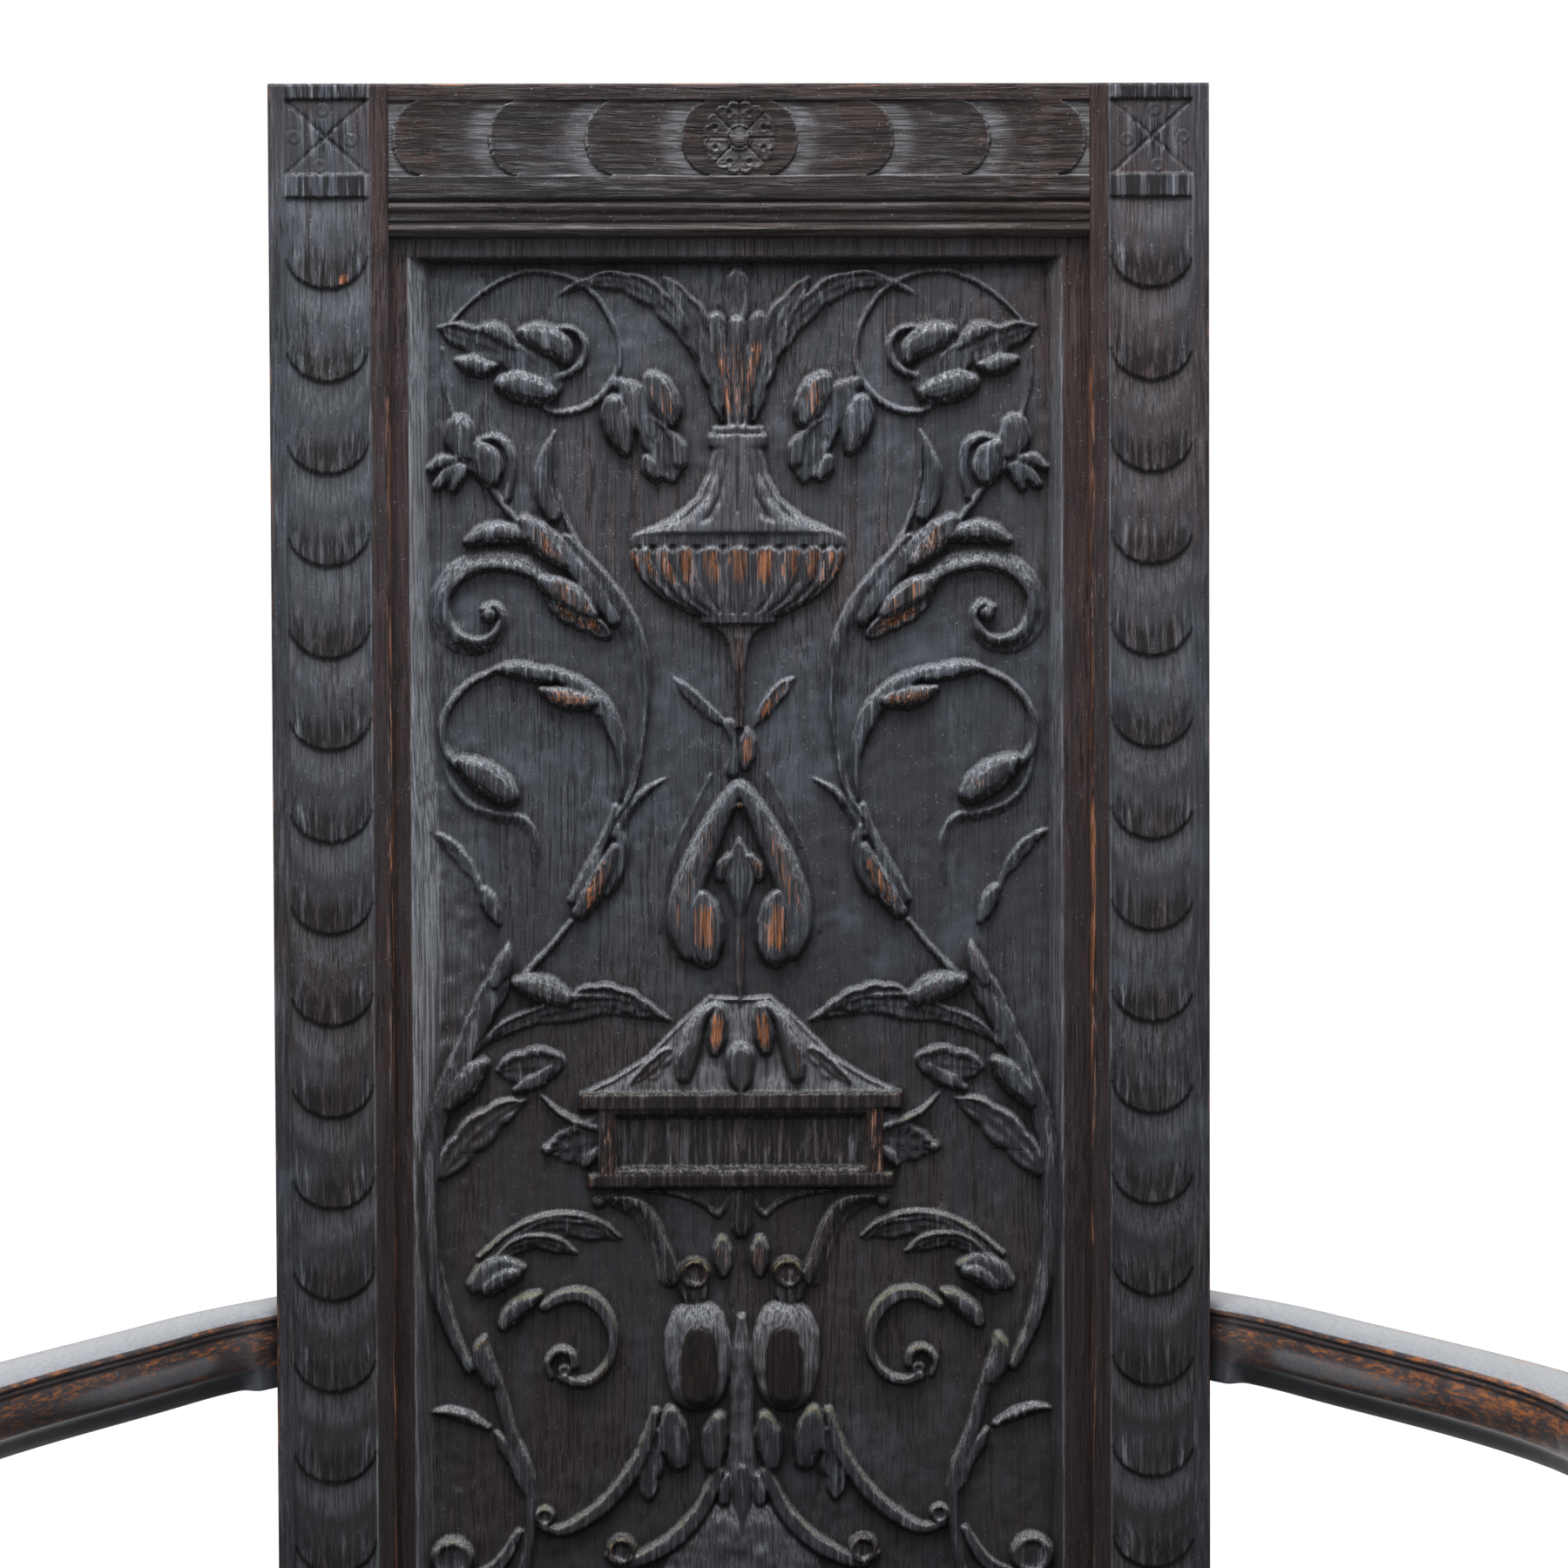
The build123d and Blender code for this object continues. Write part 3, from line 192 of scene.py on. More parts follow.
# ------------------------ shader expressions
class Signal:
    """One node output, with the arithmetic operators of Python."""

    def __init__(self, graph: "NodeGraph", output: bpy.types.NodeSocket) -> None:
        """Wraps an output socket of a node graph."""
        self.graph = graph
        self.output = output

    def _math(self, operation: str, *values: "Signal | float") -> "Signal":
        """Adds a Math node on number values.

        Args:
            operation: Blender's name of the operation.
            values: its inputs, in order.

        Returns:
            The result of the node.
        """
        return self.graph.node("ShaderNodeMath", {"operation": operation}, dict(enumerate(values)))

    def __add__(self, other: "Signal | float") -> "Signal":
        """Sum."""
        return self._math("ADD", self, other)

    def __radd__(self, other: float) -> "Signal":
        """Sum, reflected."""
        return self._math("ADD", other, self)

    def __sub__(self, other: "Signal | float") -> "Signal":
        """Difference."""
        return self._math("SUBTRACT", self, other)

    def __rsub__(self, other: float) -> "Signal":
        """Difference, reflected."""
        return self._math("SUBTRACT", other, self)

    def __mul__(self, other: "Signal | float") -> "Signal":
        """Product."""
        return self._math("MULTIPLY", self, other)

    def __rmul__(self, other: float) -> "Signal":
        """Product, reflected."""
        return self._math("MULTIPLY", other, self)

    def clamp(self) -> "Signal":
        """The value held between 0 and 1."""
        return self.graph.node("ShaderNodeClamp", {}, {"Value": self})

    def above(self, low: float, high: float) -> "Signal":
        """Smooth step of the value.

        Args:
            low: value at which the step starts.
            high: value at which it is complete.

        Returns:
            0 below low, 1 above high.
        """
        step = {"Value": self, "From Min": low, "From Max": high}
        return self.graph.node("ShaderNodeMapRange", {"interpolation_type": "SMOOTHSTEP"}, step)


class NodeGraph:
    """The node tree of one material or world."""

    def __init__(self, tree: bpy.types.NodeTree) -> None:
        """Takes over an empty node tree."""
        self.tree = tree
        self.tree.nodes.clear()

    def node(
        self,
        kind: str,
        settings: dict[str, object] | None = None,
        inputs: dict[int | str, object] | None = None,
        output: int | str = 0,
    ) -> Signal | None:
        """Adds a node.

        Args:
            kind: Blender's type of the node.
            settings: properties, set before the sockets are read.
            inputs: socket name or index to a Signal or a plain value.
            output: the socket that is returned.

        Returns:
            The chosen output, or None for a node that has none.
        """
        made = self.tree.nodes.new(kind)
        for key, value in (settings or {}).items():
            setattr(made, key, value)
        for key, value in (inputs or {}).items():
            socket = made.inputs[key]
            if isinstance(value, Signal):
                self.tree.links.new(value.output, socket)
            else:
                socket.default_value = value
        return Signal(self, made.outputs[output]) if made.outputs else None

    def mix(self, low: object, high: object, factor: Signal | float) -> Signal:
        """Mixes two colours.

        Args:
            low: colour, as a Signal or RGBA, at factor 0.
            high: colour at factor 1.
            factor: share of high.

        Returns:
            The mixed colour.
        """
        return self.node("ShaderNodeMix", {"data_type": "RGBA"}, {0: factor, 6: low, 7: high}, 2)

    def noise(
        self, place: Signal, scale: float, detail: float, rough: float, output: str = "Fac"
    ) -> Signal:
        """Fractal noise at a place.

        Args:
            place: coordinates.
            scale: cells per unit of the coordinates.
            detail: number of octaves.
            rough: strength of the fine octaves.
            output: Fac for one value, Color for three.

        Returns:
            A value about 0.5.
        """
        parts = {"Vector": place, "Scale": scale, "Detail": detail, "Roughness": rough}
        return self.node("ShaderNodeTexNoise", {"noise_dimensions": "3D"}, parts, output)

    def stretched(self, place: Signal, factors: Sequence[float]) -> Signal:
        """The coordinates multiplied by three factors."""
        return self.node("ShaderNodeVectorMath", {"operation": "MULTIPLY"}, {0: place, 1: tuple(factors)})

    def moved(self, place: Signal, offset: Signal, share: float) -> Signal:
        """The coordinates moved by a share of an offset."""
        parts = {0: offset, 1: (share,) * 3, 2: place}
        return self.node("ShaderNodeVectorMath", {"operation": "MULTIPLY_ADD"}, parts)


def srgb(red: int, green: int, blue: int) -> tuple[float, float, float, float]:
    """Linear colour of an 8-bit display colour.

    Args:
        red: 0 to 255.
        green: 0 to 255.
        blue: 0 to 255.

    Returns:
        Linear RGBA.
    """
    linear = [((c / 255 + 0.055) / 1.055) ** 2.4 for c in (red, green, blue)]
    return (linear[0], linear[1], linear[2], 1.0)


# ------------------------ finishes
@dataclass(frozen=True)
class OakFinish:
    """Dark stained and waxed oak, worn back to warm wood on its high places."""

    name: str
    grain: Grain = Grain.UP
    slot: str = "carved_oak"
    deep: tuple = srgb(16, 13, 13)  # stain in the pores, and painted shade in hollows and on undersides
    cool: tuple = srgb(71, 74, 80)  # stain with the bloom of old wax
    brown: tuple = srgb(70, 54, 53)  # thinner stain, browner
    haze: tuple = srgb(88, 93, 102)  # cloudy old wax on smooth ground
    pale_wax_and_highlight: tuple = srgb(166, 169, 175)  # pale wax along the fibres, and the painted highlight on ledges that face up
    warm: tuple = srgb(180, 112, 66)  # bare wood where hands and cloths have rubbed
    dust: tuple = srgb(122, 116, 78)  # dry wax and dust held in the corners
    roughness: float = 0.42
    shine: float = 0.15  # specular level
    relief_depth: float = 0.8  # strength of fibres and pores in the surface
    fade: float = 0.0  # how much darker the carved pieces get towards the seat
    open_grain: float = 1.0  # how strongly fibres and pores show
    brown_share: float = 0.5  # how much of the stain is brown
    rub_edge: tuple = (0.62, 0.92)  # how sharply bare wood sets in
    carved: bool = False  # the piece carries the six surface values

    def material(self) -> bpy.types.Material:
        """The finish as a node material on Object coordinates, made when first asked for.

        Returns:
            The material.
        """
        if self.name in bpy.data.materials:
            return bpy.data.materials[self.name]
        material = bpy.data.materials.new(self.name)
        material.use_nodes = True
        layers = OakLayers(self, NodeGraph(material.node_tree))
        layers.stain()
        if self.carved:
            layers.follow_carving()
        layers.shade()
        return material


class OakLayers:
    """Colour, roughness and relief of one oak, laid over each other while its nodes are made.

    A piece that is carved gives six values for each vertex: tint is how brown and open the wood
    is (below 0 it is paler), wear how bare, dust how much has settled, lie how far the surface
    faces up or down, hollow how deep it lies, rough how torn its fibres are (below 0 polished).
    Lie paints a highlight where the surface faces up and shade where it faces down; hollow
    paints shade in the hollows.
    """

    def __init__(self, finish: OakFinish, graph: NodeGraph) -> None:
        """Makes the patterns that the layers share.

        Args:
            finish: the colours and strengths.
            graph: the material's node tree.
        """
        self.finish, self.graph = finish, graph
        self.place = place = graph.node("ShaderNodeTexCoord", output="Object")
        sway = graph.noise(place, 14.0, 1.0, 0.5, "Color")
        self.along = along = graph.moved(graph.stretched(place, finish.grain.value), sway, 0.004)
        self.fibres = graph.noise(along, 1450.0, 3.0, 0.6)
        self.pores = graph.noise(along, 950.0, 2.0, 0.65)
        self.figure = graph.noise(along, 170.0, 3.0, 0.6)
        self.blotch = graph.noise(place, 13.0, 3.0, 0.6)
        self.smoke = graph.noise(place, 30.0, 4.0, 0.62)
        self.grit = graph.noise(place, 420.0, 3.0, 0.65)
        self.streaks = finish.open_grain * self.fibres.above(0.52, 0.64)
        self.pits = finish.open_grain * self.pores.above(0.53, 0.60)
        stain = graph.noise(place, 6.5, 2.0, 0.5)
        share = finish.brown_share
        self.browned = (stain * 0.6 + self.figure * 0.4).above(0.60 - 0.2 * share, 0.72 - 0.1 * share)
        self.opened = (self.figure * 0.45 + self.blotch * 0.55).above(0.44, 0.60)
        if finish.carved:
            self.tint, self.worn, self.held, self.lie, self.hollow, self.rough = (
                graph.node("ShaderNodeAttribute", {"attribute_name": name}, output="Fac")
                for name in SURFACE_VALUES
            )
            self.browned = (self.browned * 0.75 + self.tint).clamp()
            self.opened = (self.opened * 0.8 + self.rough * 0.6).clamp()
        self.colour = graph.mix(finish.cool, finish.brown, self.browned)

    def cover(self, colour: tuple, share: Signal) -> None:
        """Lays a colour over the wood where the share says."""
        self.colour = self.graph.mix(self.colour, colour, share)

    def stain(self) -> None:
        """Uneven stain, cloudy wax, pale fibres, dark pores and specks of wax."""
        finish, opened, browned = self.finish, self.opened, self.browned
        tone = (self.figure * 0.35 + self.blotch * 0.30 + self.smoke * 0.35).above(0.36, 0.62)
        self.colour = self.graph.mix(finish.deep, self.colour, 0.60 + 0.38 * tone)
        self.cover(finish.haze, self.smoke.above(0.50, 0.70) * 0.45 * (1.0 - browned))
        self.cover(finish.pale_wax_and_highlight, self.streaks * (0.015 + 0.15 * opened) * (1.0 - 0.4 * browned))
        self.cover(finish.deep, self.pits * (0.16 + 0.66 * opened))
        self.cover(finish.pale_wax_and_highlight, self.graph.noise(self.place, 950.0, 1.0, 0.5).above(0.69, 0.74) * 0.32)
        if finish.carved and finish.fade:
            self.darken_towards_seat()
        self.roughness = finish.roughness + 0.20 * self.pits - 0.06 * self.streaks + 0.16 * (self.blotch - 0.5)
        grain = (self.fibres * 0.45 + self.figure * 0.25 - self.pits * 0.8) * (0.45 + 0.75 * opened)
        self.relief = grain + self.grit * 0.14

    def darken_towards_seat(self) -> None:
        """Darkens the wood towards the seat, less so on the raised forms."""
        finish = self.finish
        height = self.graph.node("ShaderNodeSeparateXYZ", {}, {0: self.place}, "Z")
        raised = self.rough.clamp() * (1.0 - self.tint)
        self.cover(finish.haze, raised * 0.42)
        self.cover(finish.deep, finish.fade * (1.0 - height.above(0.66, 1.10)) * (1.0 - 0.6 * raised))
        self.cover(finish.haze, self.smoke.above(0.52, 0.70) * 0.22 * (1.0 - self.browned))

    def follow_carving(self) -> None:
        """Painted highlight on ledges, painted shade on undersides and in hollows, dark cuts, bare wood on what
        is rubbed, dust in corners.
        """
        finish, graph, fibres, grit = self.finish, self.graph, self.fibres, self.grit
        tint, rough = self.tint, self.rough
        # painted light: highlight where the surface faces up, shade where it faces down
        ledge = self.lie.above(0.12, 0.72)
        under = (0.0 - self.lie).above(0.10, 0.75)
        torn, smooth = rough.clamp(), (0.0 - rough).clamp()
        coarse = graph.noise(graph.moved(self.along, self.place, 0.03), 470.0, 3.0, 0.62)
        # dark cuts of the tool, made stronger on faces that look down as painted shade
        cuts = (rough * 0.95 + under * 0.3).clamp() * coarse.above(0.47, 0.54)
        glints = torn * (1.0 - coarse.above(0.34, 0.41))
        polish = (fibres.above(0.38, 0.58) + (1.0 - finish.open_grain) + smooth).clamp()
        polish = polish * (1.0 - self.pits * 0.8 * (1.0 - smooth))
        # painted highlight on ledges that face up
        ledge_highlight = ledge * (0.12 + 0.58 * polish) * (1.0 - 0.7 * tint) * (0.55 + 0.9 * grit)
        self.cover(finish.pale_wax_and_highlight, ledge_highlight.clamp())
        # painted shade on faces that look down
        self.cover(finish.deep, under * (0.40 + 0.60 * self.pores.above(0.42, 0.54)))
        bare = self.worn.above(0.02, 0.25)
        # pale fibres on bare wood, and painted glints on torn fibres
        self.cover(finish.pale_wax_and_highlight, (bare * self.streaks * 0.45 + glints * (1.0 - tint) * 0.36).clamp())
        self.cover(finish.deep, bare * self.pits * 0.85)
        wood = fibres * 0.7 + self.figure * 0.3
        if finish.open_grain < 0.5:  # a closed surface wears in patches, not along its fibres
            wood = graph.noise(graph.stretched(self.place, (0.55, 0.55, 2.6)), 250.0, 4.0, 0.72)
        rubbed = (wood * 3.0 - 1.0 + 0.36 * self.worn).above(*finish.rub_edge) * self.worn.above(0.02, 0.15)
        self.cover(finish.warm, rubbed * (0.20 + 0.85 * grit).clamp())
        settled = (self.held * (0.25 + 1.3 * grit)).above(0.25, 0.95)
        settled = settled * (0.3 + 0.9 * self.smoke.above(0.42, 0.60))
        self.cover(finish.dust, settled * 0.55)
        self.cover(finish.deep, cuts * 0.90)
        # painted shade in the hollows
        self.cover(finish.deep, self.hollow * 0.80)
        self.roughness = self.roughness + 0.15 * settled + 0.10 * under - 0.08 * ledge + 0.25 * self.hollow
        self.relief = self.relief - cuts * 1.2

    def shade(self) -> None:
        """Joins the layers in the shader."""
        bump = {"Height": self.relief, "Strength": self.finish.relief_depth, "Distance": 0.30 * MM}
        parts = {
            "Base Color": self.colour,
            "Roughness": self.roughness.clamp(),
            "Normal": self.graph.node("ShaderNodeBump", {}, bump),
            "Specular IOR Level": self.finish.shine,
            "Coat Weight": 0.02,
            "Coat Roughness": 0.28,
        }
        shader = self.graph.node("ShaderNodeBsdfPrincipled", {}, parts)
        self.graph.node("ShaderNodeOutputMaterial", {}, {"Surface": shader})


# ------------------------ meshes
def mesh_object(
    name: str, points: Array, faces: Sequence[Array], smooth_angle: float = 35.0
) -> bpy.types.Object:
    """Makes a mesh object at the origin.

    Args:
        name: name of the object.
        points: vertices, n by 3, in metres.
        faces: arrays of vertex indices, each m by k for m faces of k corners.
        smooth_angle: edges sharper than this, in degrees, stay sharp.

    Returns:
        The object, linked to the scene.
    """
    mesh = bpy.data.meshes.new(name)
    mesh.vertices.add(len(points))
    mesh.vertices.foreach_set("co", np.ascontiguousarray(points, dtype=np.float32).ravel())
    corners = np.concatenate([np.asarray(block, dtype=np.int32).ravel() for block in faces])
    sizes = np.concatenate([np.full(len(block), block.shape[1], dtype=np.int32) for block in faces])
    mesh.loops.add(len(corners))
    mesh.loops.foreach_set("vertex_index", corners)
    mesh.polygons.add(len(sizes))
    starts = np.concatenate([[0], np.cumsum(sizes)[:-1]]).astype(np.int32)
    mesh.polygons.foreach_set("loop_start", starts)
    mesh.update(calc_edges=True)
    mesh.validate(clean_customdata=False)
    mesh.polygons.foreach_set("use_smooth", np.ones(len(sizes), dtype=bool))
    mesh.set_sharp_from_angle(angle=math.radians(smooth_angle))
    piece = bpy.data.objects.new(name, mesh)
    bpy.context.scene.collection.objects.link(piece)
    return piece


def grid_faces(rows: int, columns: int, wrap: bool = False, start: int = 0) -> Array:
    """Quads between the points of a grid stored row by row.

    Args:
        rows: number of rows.
        columns: number of columns.
        wrap: the last column joins the first.
        start: index of the first point.

    Returns:
        Faces, m by 4, counter-clockwise when rows go up and columns go right.
    """
    row = np.arange(rows - 1)[:, None]
    column = np.arange(columns if wrap else columns - 1)[None, :]
    right = (column + 1) % columns
    low = start + row * columns
    high = start + (row + 1) * columns
    quads = np.stack(np.broadcast_arrays(low + column, low + right, high + right, high + column), -1)
    return quads.reshape(-1, 4)


def tube_object(name: str, rings: Array, smooth_angle: float = 35.0) -> bpy.types.Object:
    """Closed tube through a stack of rings, with a flat face at each end.

    Args:
        name: name of the object.
        rings: n rings of m points, n by m by 3, counter-clockwise seen from the last ring.
        smooth_angle: edges sharper than this stay sharp.

    Returns:
        The object.
    """
    count, around, _ = rings.shape
    first = np.arange(around)[::-1][None, :]
    last = ((count - 1) * around + np.arange(around))[None, :]
    faces = [grid_faces(count, around, wrap=True), first, last]
    return mesh_object(name, rings.reshape(-1, 3), faces, smooth_angle)


def set_values(piece: bpy.types.Object, fields: dict[str, Array]) -> None:
    """Stores point attributes, one number per vertex each.

    Args:
        piece: the mesh object.
        fields: values for each vertex by name; those not given are 0.
    """
    count = len(piece.data.vertices)
    for name in SURFACE_VALUES:
        values = fields.get(name, np.zeros(count))
        layer = piece.data.attributes.new(name, "FLOAT", "POINT")
        layer.data.foreach_set("value", np.ascontiguousarray(values, dtype=np.float32).ravel())


def dress(piece: bpy.types.Object, finish: OakFinish, node: str) -> None:
    """Finishes a piece, hangs it on the body and hides the frame's node that it stands for.

    Args:
        piece: the new piece.
        finish: its finish, which names its slot.
        node: the frame's node that it replaces.
    """
    piece.data.materials.append(finish.material())
    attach(piece, BODY)
    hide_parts(node)
    LOG.info("%s: %d faces, slot %s", piece.name, len(piece.data.polygons), finish.slot)


def smooth_line(points: Sequence[Point], samples: int) -> Array:
    """Catmull-Rom curve through points, evenly spaced along its length.

    Args:
        points: the points that it passes through.
        samples: number of points returned.

    Returns:
        Curve points, samples by 2.
    """
    knots = np.asarray(points, dtype=float)
    if len(knots) == 2:
        return knots[0] + (knots[1] - knots[0]) * np.linspace(0, 1, samples)[:, None]
    before = 2 * knots[0] - knots[1]
    after = 2 * knots[-1] - knots[-2]
    padded = np.vstack([before, knots, after])
    share = np.linspace(0, 1, 12, endpoint=False)[:, None]
    pieces = []
    for first, second, third, fourth in zip(padded, padded[1:], padded[2:], padded[3:]):
        pieces.append(
            0.5
            * (
                2 * second
                + (third - first) * share
                + (2 * first - 5 * second + 4 * third - fourth) * share**2
                + (3 * second - first - 3 * third + fourth) * share**3
            )
        )
    curve = np.vstack(pieces + [knots[-1:]])
    steps = np.concatenate([[0], np.cumsum(np.linalg.norm(np.diff(curve, axis=0), axis=1))])
    even = np.linspace(0, steps[-1], samples)
    return np.stack([np.interp(even, steps, curve[:, axis]) for axis in (0, 1)], -1)


# ------------------------ places on the back
@dataclass(frozen=True)
class BackPlane:
    """Face of the raked back, in millimetres: u across, v up the rake, w out of the face."""

    face: float  # y of the face at the level of the seat
    seat: float  # height of the seat
    rake: float  # lean of the back, radians
    length: float  # from the seat to the head, up the rake

    @classmethod
    def from_frame(cls) -> "BackPlane":
        """Reads the place of the back from the frame's posts and seat.

        Returns:
            The plane of its face.
        """
        low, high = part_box("left_rear_post")
        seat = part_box("seat_rear_board")[1][2] / MM
        rake = math.radians(2.0)
        return cls(low[1] / MM, seat, rake, (high[2] / MM - seat) / math.cos(rake))

    def points(self, u: Array, v: Array, w: Array) -> Array:
        """Places in the chair's frame, in metres.

        Below the seat the posts stand upright, so v is then a plain height.

        Args:
            u: millimetres across, to the sitter's left.
            v: millimetres up from the seat.
            w: millimetres out of the face.

        Returns:
            Points, with the shape of u and a last axis of 3.
        """
        u, v, w = np.broadcast_arrays(u, v, w)
        lean = np.where(v > 0, self.rake, 0.0)
        y = self.face + v * np.sin(lean) - w * np.cos(lean)
        z = self.seat + v * np.cos(lean) + w * np.sin(lean)
        return np.stack([u, y, z], -1) * MM


@dataclass(frozen=True)
class PatternSheet:
    """Full-width working drawing of the carving, on a sheet 1800 units wide and high.

    The carver's sheet was drawn from a standing eye, so its scale shrinks slightly downwards.
    """

    length: float  # of the back, millimetres
    head_line: float = 95.0  # drawing line of the head of the back
    scale: float = 2.6852  # drawing units per millimetre at the head
    scale_drift: float = -1.681e-5
    centre: float = 847.81
    centre_drift: float = 0.00432
    drop_start: float = -1.766
    drop_slope: float = 0.370658
    drop_curve: float = 2.365e-6
    shift: float = 1.2  # the carving's own middle lies this far from the middle of the frame

    def place(self, drawn: Sequence[Point]) -> Array:
        """Board places of drawing points.

        Args:
            drawn: (across, down) on the sheet.

        Returns:
            (u, v) in millimetres, n by 2.
        """
        sheet = np.asarray(drawn, dtype=float)
        down = sheet[:, 1] - self.head_line
        scale = self.scale + self.scale_drift * down
        u = (sheet[:, 0] - self.centre - self.centre_drift * down) / scale + self.shift
        tilt = (sheet[:, 0] - 850) / 700 * (0.3 + 0.00113 * (sheet[:, 1] - 100))
        v = self.length - (self.drop_start + self.drop_slope * down + self.drop_curve * down**2 + tilt)
        return np.stack([u, v], -1)


@dataclass(frozen=True)
class Stroke:
    """One carved form: a path on the pattern sheet with a width and a cross-section."""

    form: Form
    height: float  # millimetres above the ground
    widths: tuple[float, ...]  # full widths in drawing units, evenly spaced along the path
    path: tuple[int, ...]  # across and down of each point in turn
    lobes: int = 0  # scallops along each edge
    wear: float = 0.0  # bare wood on its top
    lone: bool = False  # carved on one side only
    tint: float = 0.0  # browner, open wood; below 0 paler and smooth, with a painted highlight


class Relief:
    """Height of a carved board above its ground, on a grid symmetrical about its middle."""

    def __init__(self, half: float, low: float, high: float, cell: float = 0.4) -> None:
        """Lays out the grid.

        Args:
            half: half width, millimetres.
            low: lowest v.
            high: highest v.
            cell: size of a cell.
        """
        columns = 2 * int(round(half / cell)) + 1
        rows = int(round((high - low) / cell)) + 1
        self.u = np.linspace(-half, half, columns)
        self.v = np.linspace(low, high, rows)
        self.cell = self.u[1] - self.u[0]
        self.height = np.zeros((rows, columns))
        self.wear = np.zeros((rows, columns))
        self.tint = np.zeros((rows, columns))

    def window(self, low: Array, high: Array) -> tuple[slice, slice]:
        """Part of the grid that holds a box.

        Args:
            low: its lowest corner (u, v).
            high: its highest corner.

        Returns:
            Rows and columns.
        """
        column = np.clip(np.searchsorted(self.u, [low[0], high[0]]) + (-1, 1), 0, len(self.u))
        row = np.clip(np.searchsorted(self.v, [low[1], high[1]]) + (-1, 1), 0, len(self.v))
        return slice(row[0], row[1]), slice(column[0], column[1])

    def merge(
        self, rows: slice, columns: slice, height: Array, wear: Array, lone: bool, tint: float
    ) -> None:
        """Keeps the higher of the grid and a patch, here and at its mirror place.

        Args:
            rows: rows of the patch.
            columns: its columns.
            height: its heights.
            wear: its wear.
            lone: only here.
            tint: how brown its wood is.
        """
        count = len(self.u)
        mirrored = slice(count - columns.stop, count - columns.start)
        for target, step in ((columns, 1),) if lone else ((columns, 1), (mirrored, -1)):
            patch, rubbed = height[:, ::step], wear[:, ::step]
            below = self.height[rows, target]
            higher = (patch >= below) & (patch > 0)
            self.wear[rows, target] = np.where(higher, rubbed, self.wear[rows, target])
            self.tint[rows, target] = np.where(higher, tint, self.tint[rows, target])
            self.height[rows, target] = np.maximum(below, patch)

    def slide(self, distance: float) -> None:
        """Moves the carving across the board, to the nearest cell."""
        for values in (self.height, self.wear, self.tint):
            values[:] = np.roll(values, int(round(distance / self.cell)), axis=1)

    def carve(self, stroke: Stroke, sheet: PatternSheet) -> None:
        """Raises a stroke.

        Each cell is measured from the nearest point of the path: t is its distance over the
        half width there, signed by side, and the height is the form's cross-section at t.

        Args:
            stroke: the form.
            sheet: the drawing that its path is on.
        """
        path = np.reshape(stroke.path, (-1, 2))
        if len(path) == 1:
            line = sheet.place(path[[0, 0]]) + np.array([[0, 0.01], [0, -0.01]])
        else:
            line = sheet.place(smooth_line(path, 24 * len(path)))
        steps = np.concatenate([[0], np.cumsum(np.linalg.norm(np.diff(line, axis=0), axis=1))])
        along = steps / steps[-1]
        half = np.interp(along, np.linspace(0, 1, len(stroke.widths)), stroke.widths) / sheet.scale / 2
        if stroke.lobes:
            half = half * (0.80 + 0.20 * np.abs(np.sin(np.pi * stroke.lobes * along)))
        reach = half.max() + 1.0
        rows, columns = self.window(line.min(0) - reach, line.max(0) + reach)
        u, v = np.meshgrid(self.u[columns], self.v[rows])
        if u.size == 0:  # it lies past the edge of the board
            return
        across = u[..., None] - line[:, 0]
        up = v[..., None] - line[:, 1]
        square = across**2 + up**2
        nearest = (np.sqrt(square) - half).argmin(-1)
        picked = np.take_along_axis(square, nearest[..., None], -1)[..., 0]
        tangent = np.gradient(line, axis=0)
        turn = tangent[nearest, 0] * (v - line[nearest, 1]) - tangent[nearest, 1] * (u - line[nearest, 0])
        width = np.maximum(half[nearest], 0.25)
        distance = np.sqrt(picked)
        t = np.clip(distance / width, 0, 1) * np.sign(turn)
        share = along[nearest]
        wall = ease((width - distance) / min(1.3, 0.5 * float(half.max())) + 0.1)
        upper = np.clip((v - line[nearest, 1]) / width, -1, 1)
        height = stroke.height * stroke.form.section(t, share, upper, stroke.lobes) * wall
        middle = ease((0.62 - np.abs(t)) / 0.3) * ease((share - 0.12) / 0.2) * ease((0.94 - share) / 0.2)
        wear = stroke.wear * middle
        height[distance >= width] = 0.0
        self.merge(rows, columns, height, wear, stroke.lone, stroke.tint)

    def raise_shape(
        self, box: tuple[Point, Point], shape: Callable[[Array, Array], tuple[Array, Array]], tint: float = 0.0
    ) -> None:
        """Raises a form given by a function of place.

        Args:
            box: lowest and highest (u, v) of the form, on the left half or across the middle.
            shape: gives heights and wear at arrays u and v.
            tint: how brown its wood is.
        """
        rows, columns = self.window(np.asarray(box[0]), np.asarray(box[1]))
        u, v = np.meshgrid(self.u[columns], self.v[rows])
        height, wear = shape(u, v)
        self.merge(rows, columns, height, wear, False, tint)


